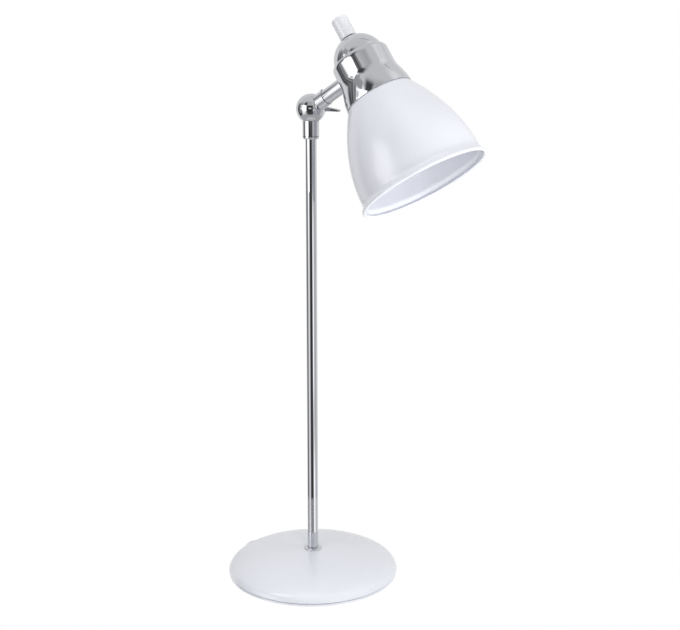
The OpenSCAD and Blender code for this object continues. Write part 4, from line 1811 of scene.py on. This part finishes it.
@dataclass
class Holder(SubAssembly):
    """The threaded lamp holder with the bulb in it.

    Attributes:
        body: Radius of the holder.
        thread: Radius over its thread.
        flange: Radius of its flange.
        flange_top: Height of the flange's top.
        flange_foot: Height of its foot, on the shade.
        chamber: Radius of the wiring chamber.
        chamber_floor: Height of the chamber's floor.
        floor: Height of the socket's floor.
        socket: Radius of the socket.
        ridge: Radius of a thread's ridge.
        pitch: Rise of a thread in one turn.
        ring_foot: Height that the holder's thread shows below.
        thread_ends: How far the holder's thread stops short of its lower and upper ends.
        cap: Radius of the bulb's cap over its thread.
        cap_ends: The same of the cap's thread.
        foot: Radius of the cap's foot contact.
        foot_height: Height of that contact.
        cone: How far from the cap's end the insulator's cone ends and the thread's core starts.
        cone_inset: How much narrower than that core the cone ends.
        neck: Radius of the glass's neck.
        neck_length: Length of the neck's straight part.
        pulls: How far the glass's curve keeps its direction at the neck and at the bulb.
        bulb: Radius of the bulb.
        glass: The glass's wall.
        round_start: Where the glass's round end starts, in degrees above its widest place.
        broken: Radius of the holder's and the cap's broken edges.
    """

    body: float = 13.0
    thread: float = 14.2
    flange: float = 17.0
    flange_top: float = -19.9
    flange_foot: float = -21.9
    chamber: float = 9.0
    chamber_floor: float = -14.8
    floor: float = -19.8
    socket: float = 8.0
    ridge: float = 0.45
    pitch: float = 2.8
    ring_foot: float = -28.4
    thread_ends: tuple[float, float] = (1.2, 0.6)
    cap: float = 6.9
    cap_ends: tuple[float, float] = (2.5, 5.0)
    foot: float = 2.4
    foot_height: float = 0.8
    cone: tuple[float, float] = (3.4, 4.3)
    cone_inset: float = 0.4
    neck: float = 6.5
    neck_length: float = 2.5
    pulls: tuple[float, float] = (5.5, 5.0)
    bulb: float = 22.5
    glass: float = 0.8
    round_start: float = 52.0
    broken: float = 0.3
    kept = {"socket_shell": Look.BRASS, "centre_contact": Look.BRASS}

    def threaded(self, name: str, section: Outline, radius: float, low: float, high: float) -> Piece:
        """A turned piece with a thread's ridge round it.

        Args:
            name: The piece's name.
            section: The turned section.
            radius: Radius over the thread.
            low: Height where the thread starts.
            high: Height where it ends.

        Returns:
            The new object.
        """
        core = turned_mesh(f"{name}_core", soften(section, self.broken), 128)
        ridge = thread_recipe().make(
            f"{name}_ridge", Radius=(radius - self.ridge) * MM, Turns=(high - low) / self.pitch,
            Length=(high - low) * MM, Ridge=self.ridge * MM,
        )
        ridge.transform(Matrix.Translation((0, 0, low * MM)))
        return joined(name, [core, ridge], HEAD)

    def holder(self) -> Piece:
        """The holder's body with the thread that the clamping ring runs on.

        Returns:
            The new object.
        """
        place = extent("lamp_holder", HEAD)
        core = self.thread - self.ridge
        section = [
            (self.chamber, place.high), (self.chamber, self.chamber_floor),
            (0, self.chamber_floor), (0, self.floor), (self.socket, self.floor),
            (self.socket, place.low), (core, place.low), (core, self.ring_foot),
            (self.thread, self.ring_foot), (self.thread, self.flange_foot),
            (self.flange, self.flange_foot), (self.flange, self.flange_top),
            (self.body, self.flange_top), (self.body, place.high),
        ]
        low, high = place.low + self.thread_ends[0], self.ring_foot - self.thread_ends[1]
        return self.threaded("lamp_holder_finished", section, self.thread, low, high)

    def bulb_cap(self) -> Piece:
        """The bulb's screw cap.

        Returns:
            The new object.
        """
        place = extent("bulb_cap", HEAD)
        core = self.cap - self.ridge
        section = [
            (0, place.high), (self.foot, place.high), (self.foot, place.high - self.foot_height),
            (core - self.cone_inset, place.high - self.cone[0]),
            (core, place.high - self.cone[1]), (core, place.low), (0, place.low),
        ]
        low, high = place.low + self.cap_ends[0], place.high - self.cap_ends[1]
        return self.threaded("bulb_cap_finished", section, self.cap, low, high)

    def glass_line(self, inset: float, top: float, middle: float) -> Outline:
        """The glass's line from its neck to its end.

        Args:
            inset: How far inside the outer face the line lies.
            top: Height of the neck's end.
            middle: Height of the round end's centre.

        Returns:
            The line's points.
        """
        end = bow(0, middle, self.bulb - inset, self.round_start, -90, 44)
        turn = math.radians(self.round_start)
        start, last = Vector((self.neck - inset, top - self.neck_length)), Vector(end[0])
        pull = [start, start - Vector((0, self.pulls[0])),
                last + self.pulls[1] * Vector((-math.sin(turn), math.cos(turn))), last]
        curve = []
        for t in shares(18)[:-1]:
            weights = ((1 - t) ** 3, 3 * t * (1 - t) ** 2, 3 * t**2 * (1 - t), t**3)
            spot = sum((point * weight for point, weight in zip(pull, weights)), Vector((0, 0)))
            curve.append(tuple(spot))
        end[-1] = (0.0, end[-1][1])
        return [(self.neck - inset, top), *curve, *end]

    def build(self) -> list[Fitted]:
        """The holder and the bulb.

        Returns:
            The finished pieces.
        """
        place = extent("bulb_glass", HEAD)
        middle = place.low + self.bulb
        outer, inner = (self.glass_line(inset, place.high, middle) for inset in (0, self.glass))
        glass = turned("bulb_glass_finished", outer + inner[::-1], HEAD, segments=128)
        return [
            Fitted(self.holder(), Look.WHITE_PLASTIC, "lamp_holder"),
            Fitted(self.bulb_cap(), Look.NICKEL, "bulb_cap"),
            Fitted(glass, Look.OPAL, "bulb_glass"),
        ]


@dataclass
class Switch(SubAssembly):
    """The rotary switch in the cap and its knob.

    Attributes:
        rounding: Radius of the knob's top edge.
        room: Radius of the room for the nut inside the knob.
        room_height: Height of that room above the nut.
        roof: Material over the spindle.
        spindle: Radius of the spindle's hole.
        broken: Radius of the knob's broken edges.
    """

    rounding: float = 1.3
    room: float = 6.2
    room_height: float = 2.4
    roof: float = 2.95
    spindle: float = 3.05
    broken: float = 0.3
    kept = {
        "switch_body": Look.WHITE_PLASTIC,
        "switch_nut": Look.ZINC,
        "switch_spindle": Look.ZINC,
    }

    def build(self) -> list[Fitted]:
        """The knob.

        Returns:
            The finished pieces.
        """
        knob = extent("switch_knob", HEAD)
        room_top = extent("switch_nut", HEAD).high + self.room_height
        roof, round_ = knob.high - self.roof, self.rounding
        edge = bow(knob.radius - round_, knob.high - round_, round_, 0, 90, 10)
        section = [
            (self.room, knob.low), (knob.radius, knob.low), *edge, (0, knob.high), (0, roof),
            (self.spindle, roof), (self.spindle, room_top), (self.room, room_top),
        ]
        piece = turned("switch_knob_finished", soften(section, self.broken), HEAD, segments=128)
        return [Fitted(piece, Look.KNOB, "switch_knob")]


# ---------------------------------------------------------------- the studio


@dataclass(frozen=True)
class Softbox:
    """A soft lamp of the studio.

    Attributes:
        name: Its name.
        turn: Where it stands round the object, in degrees from the camera, to the right.
        rise: How high it stands, in degrees.
        distance: How far it stands, in metres.
        width: Its width, in metres.
        height: Its height, in metres.
        power: Its power, in watts.
        aim: Height of the place that it points at, in metres.
        spread: How far its light spreads, in degrees.
        mirrored: Whether polished surfaces show it.
    """

    name: str
    turn: float
    rise: float
    distance: float
    width: float
    height: float
    power: float
    aim: float = 0.3
    spread: float = 180.0
    mirrored: bool = False


@dataclass(frozen=True)
class Card:
    """A white screen or a dark flag of the room, which polished metal shows.

    Attributes:
        turn: Direction of its middle, in degrees from the camera, to the right.
        rise: Height of its middle above the level, in degrees.
        width: Its width, in degrees.
        height: Its height, in degrees.
        bright: Its brightness.
        soft: Width of its soft edge, in degrees.
    """

    turn: float
    rise: float
    width: float
    height: float
    bright: float
    soft: float

    def hung(self, g: Graph, turn: Socket, rise: Socket, room: Socket) -> Socket:
        """The room's brightness with this card in it.

        Args:
            g: The world's graph.
            turn: Degrees from the camera.
            rise: Degrees above the level.
            room: The brightness without the card.

        Returns:
            The brightness with it.
        """
        inside = []
        for angle, middle, size in ((turn, self.turn, self.width), (rise, self.rise, self.height)):
            offset = g.math("ABSOLUTE", g.math("SUBTRACT", angle, middle))
            limits = ((size - self.soft) / 2, (size + self.soft) / 2)
            inside.append(g.band(offset, *limits, 1.0, 0.0))
        return g.between(g.math("MULTIPLY", *inside), room, self.bright)


@dataclass(frozen=True)
class Gantry:
    """The frame of lights overhead, whose thin dark edge polished metal shows.

    Its place and size are those of its picture on a level plane one metre overhead.

    Attributes:
        middle: Its middle, to the right of the camera and towards it.
        half: Half its length and half its width.
        edge: Half the thickness of its edge.
        bright: Brightness of the edge.
        panel: Brightness of the panel inside it.
        horizon: Least height above the level that its place is worked out from.
    """

    middle: tuple[float, float] = (-0.2, 0.66)
    half: tuple[float, float] = (1.1, 0.94)
    edge: float = 0.014
    bright: float = 0.16
    panel: float = 0.6
    horizon: float = 0.05

    def hung(self, g: Graph, axes: Sockets, room: Socket) -> Socket:
        """The room's brightness with the gantry overhead.

        Args:
            g: The world's graph.
            axes: The three parts of the direction.
            room: The brightness without it.

        Returns:
            The brightness with it.
        """
        lift = g.math("MAXIMUM", axes["Z"], self.horizon)
        over = []
        for axis, middle, half in zip(("Y", "X"), self.middle, self.half):
            offset = g.math("SUBTRACT", g.math("DIVIDE", axes[axis], lift), middle)
            over.append(g.math("SUBTRACT", g.math("ABSOLUTE", offset), half))
        reach = g.math("MAXIMUM", *over)
        inside = g.band(reach, -self.edge, self.edge, 1.0, 0.0)
        line = g.band(g.math("ABSOLUTE", reach), self.edge, 2 * self.edge, 1.0, 0.0)
        return g.between(line, g.between(inside, room, self.panel), self.bright)


@dataclass
class Studio:
    """The floor, the soft light and the camera.

    Attributes:
        lens: The camera's lens, in millimetres.
        camera_spot: Where the camera stands, in metres.
        camera_turn: Its rotation, in degrees.
        sensor: Width of its sensor, in millimetres.
        floor_radius: The floor's radius, in millimetres.
        floor_heights: Heights of its underside and its top, in millimetres.
        floor_tone: How much light it gives back.
        glow: The floor's own white.
        bounce: How much of it lights matt surfaces.
        through: How much of the room polished metal shows through the floor.
        overhead: Brightness of the room's upper half for matt surfaces.
        underneath: Brightness of its lower half for them.
        fade: How far above and below the level one half fades into the other.
        walls: Brightness of the walls, as (degrees from the camera, brightness).
        ceiling: Brightness overhead.
        ceiling_span: Where the walls fade into it, in degrees above the level.
        ground: Brightness below.
        ground_span: Where the walls fade into it, likewise.
        cards: What else polished surfaces show.
        sheen: How much brighter polished surfaces show all of it.
        gantry: The frame of lights overhead.
        lamps: The soft lamps.
    """

    lens: float = 62.33
    camera_spot: Triple = (0.6274, -0.8457, 0.4743)
    camera_turn: Triple = (77.97, 0.0, 35.17)
    sensor: float = 36.0
    floor_radius: float = 200.0
    floor_heights: tuple[float, float] = (-2.0, -0.1)
    floor_tone: float = 0.18
    glow: float = 0.88
    bounce: float = 0.75
    through: float = 0.85
    overhead: float = 0.31
    underneath: float = 0.64
    fade: float = 0.4
    ceiling: float = 0.66
    ceiling_span: tuple[float, float] = (20.0, 34.0)
    ground: float = 0.42
    ground_span: tuple[float, float] = (-44.0, -24.0)
    walls: tuple[tuple[float, float], ...] = (
        (-180, 0.68), (-150, 0.65), (-126, 0.75), (-120, 0.4), (-116, 0.07), (-109, 0.06),
        (-105.5, 0.2), (-102, 0.07), (-98, 0.1), (-94, 0.38), (-90.5, 0.15), (-87, 0.2),
        (-84.5, 1.3), (-50, 1.3), (-45, 0.6), (-38, 0.3), (-30, 0.1), (-22, 0.045), (0, 0.035),
        (10, 0.05), (17, 0.15), (24, 0.45), (32, 0.55), (50, 0.55), (75, 0.5), (88, 0.42),
        (100, 0.6), (110, 0.72), (123, 0.75), (150, 0.7), (180, 0.68),
    )
    cards: tuple[Card, ...] = (
        Card(-150, 45, 80, 60, 0.66, soft=40),
        Card(-15, 45, 70, 18, 0.42, soft=24),
        Card(95, 55, 50, 24, 0.82, soft=24),
        Card(-3, -34, 50, 24, 0.06, soft=12),
        Card(-97, -28, 46, 13, 0.05, soft=9),
        Card(-80, 28, 28, 16, 0.34, soft=6),
        Card(-44, 33, 28, 28, 0.06, soft=14),
        Card(33, -11.5, 22, 10, 1.2, soft=4),
        Card(45, -24, 30, 11, 1.25, soft=4),
        Card(-79, -14, 20, 20, 0.32, soft=5),
        Card(-52, -18, 26, 18, 0.8, soft=6),
        Card(-5, 3, 20, 8, 0.85, soft=6),
        Card(-79, 9, 13, 13, 0.62, soft=5),
    )
    sheen: float = 1.21
    gantry: Gantry = Gantry()
    lamps: tuple[Softbox, ...] = (
        Softbox("key", 75, 27, 1.6, 1.3, 1.3, 6.7),
        Softbox("front_fill", 15, 15, 1.6, 1.0, 1.0, 4.0),
        Softbox("top_fill", 0, 75, 1.6, 1.0, 1.0, 10.0),
        Softbox("low_fill", 55, -34, 1.3, 0.8, 0.6, 12.0, aim=0.4),
        Softbox("base_fill", 5, 40, 0.6, 0.3, 0.3, 0.055, aim=0.0, spread=60),
        Softbox("left_panel", -49, 2, 0.37, 0.2, 0.28, 0.28, aim=0.45, mirrored=True),
    )

    def heading(self, turn: float, rise: float) -> Vector:
        """The direction at so many degrees to the right of the camera and above the level.

        Args:
            turn: Degrees to the right.
            rise: Degrees above the level.

        Returns:
            The direction.
        """
        azimuth, tilt = math.radians(self.camera_turn[2] + turn), math.radians(rise)
        level = math.cos(tilt)
        return Vector((level * math.sin(azimuth), -level * math.cos(azimuth), math.sin(tilt)))

    def floor(self) -> None:
        """A plain pale floor that keeps the object's soft shadow.

        Polished metal shows the room through it, so that the room's screens go on below.
        """
        material = bpy.data.materials.new("pale_floor")
        material.use_nodes = True
        g = Graph(material.node_tree)
        path = g.add("ShaderNodeLightPath").outputs
        seen = g.math("MAXIMUM", path["Is Camera Ray"], path["Is Transmission Ray"])
        glow = g.math("MULTIPLY", seen, self.glow)
        shader = g.tree.nodes["Principled BSDF"]
        g.fill(shader, {
            "Base Color": (*[self.floor_tone] * 3, 1), "Roughness": 0.9, "Specular IOR Level": 0.0,
            "Emission Color": (1, 1, 1, 1),
            "Emission Strength": g.math("MULTIPLY_ADD", path["Is Diffuse Ray"], self.bounce, glow),
        })
        through = g.math("MULTIPLY", path["Is Glossy Ray"], self.through)
        room = g.add("ShaderNodeBsdfTransparent", {"Color": through}).outputs[0]
        both = g.add("ShaderNodeAddShader", {0: shader.outputs[0], 1: room}).outputs[0]
        g.fill(g.tree.nodes["Material Output"], {"Surface": both})
        low, top = self.floor_heights
        section = [(0, low), (self.floor_radius, low), (self.floor_radius, top), (0, top)]
        disc = turned("floor", section, STAND, segments=96)
        disc.data.materials.append(material)

    def shell(self, g: Graph, turn: Socket, rise: Socket) -> Socket:
        """Brightness of the room's walls, ceiling and ground.

        Args:
            g: The world's graph.
            turn: Degrees from the camera.
            rise: Degrees above the level.

        Returns:
            The brightness.
        """
        ramp = g.add("ShaderNodeValToRGB", {0: g.math("MULTIPLY_ADD", turn, 1 / 360, 0.5)})
        stops = ramp.color_ramp.elements
        for _ in self.walls[len(stops):]:
            stops.new(0.5)
        for (degrees, bright), stop in zip(self.walls, stops):
            stop.position = 0.5 + degrees / 360
            stop.color = (bright, bright, bright, 1)
        room = ramp.outputs[0]
        room = g.between(g.band(rise, *self.ceiling_span), room, self.ceiling)
        below = g.band(rise, *self.ground_span, 1.0, 0.0)
        return g.between(below, room, self.ground)

    def surroundings(self) -> None:
        """The room: white behind the object, with screens and flags for metal to show."""
        world = bpy.data.worlds.new("studio_room")
        bpy.context.scene.world = world
        world.use_nodes = True
        g = Graph(world.node_tree)
        around = g.add("ShaderNodeTexCoord").outputs["Generated"]
        facing = (0, 0, math.radians(90 - self.camera_turn[2]))
        direction = g.stretched(around, rotation=facing)
        axes = g.add("ShaderNodeSeparateXYZ", {0: direction}).outputs
        turn = g.math("DEGREES", g.math("ARCTAN2", axes["Y"], axes["X"]))
        rise = g.math("DEGREES", g.math("ARCSINE", axes["Z"]))
        room = self.gantry.hung(g, axes, self.shell(g, turn, rise))
        for card in self.cards:
            room = card.hung(g, turn, rise, room)
        room = g.math("MULTIPLY", room, self.sheen)
        path = g.add("ShaderNodeLightPath").outputs
        soft = g.band(axes["Z"], -self.fade, self.fade, self.underneath, self.overhead)
        bright = g.between(path["Is Glossy Ray"], soft, room)
        plain = g.math("MAXIMUM", path["Is Camera Ray"], path["Is Transmission Ray"])
        inputs = {"Strength": g.between(plain, bright, 1.0), "Color": (1, 1, 1, 1)}
        g.fill(world.node_tree.nodes["Background"], inputs)

    def light(self) -> None:
        """The soft lamps."""
        for lamp in self.lamps:
            data = bpy.data.lights.new(lamp.name, "AREA")
            data.shape = "RECTANGLE"
            data.size, data.size_y = lamp.width, lamp.height
            data.energy = lamp.power
            data.spread = math.radians(lamp.spread)
            box = new_piece(lamp.name, data)
            toward = self.heading(lamp.turn, lamp.rise)
            box.location = Vector((0, 0, lamp.aim)) + toward * lamp.distance
            box.rotation_euler = toward.to_track_quat("Z", "Y").to_euler()
            box.visible_glossy = lamp.mirrored

    def camera(self) -> None:
        """The camera."""
        data = bpy.data.cameras.new("camera")
        data.lens = self.lens
        data.sensor_width = self.sensor
        view = new_piece("camera", data)
        view.location = self.camera_spot
        view.rotation_euler = [math.radians(angle) for angle in self.camera_turn]
        bpy.context.scene.camera = view

    def build(self) -> None:
        """Sets the whole studio up."""
        bpy.context.scene.view_settings.view_transform = "Standard"
        self.floor()
        self.surroundings()
        self.light()
        self.camera()


def main() -> None:
    """Builds the lamp part by part, then the studio round it."""
    logging.basicConfig(level=logging.INFO, format="%(name)s: %(message)s")
    for thing in list(bpy.data.objects):
        if thing.type in {"LIGHT", "CAMERA"}:
            bpy.data.objects.remove(thing)
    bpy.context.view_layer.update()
    paints = Paintbox()
    for part in (Base(), Pole(), BallJoint(), Arm(), Cap(), Shade(), Holder(), Switch()):
        LOG.info("building %s", type(part).__name__)
        part.dress(paints)
    Studio().build()


if __name__ == "__main__":
    main()
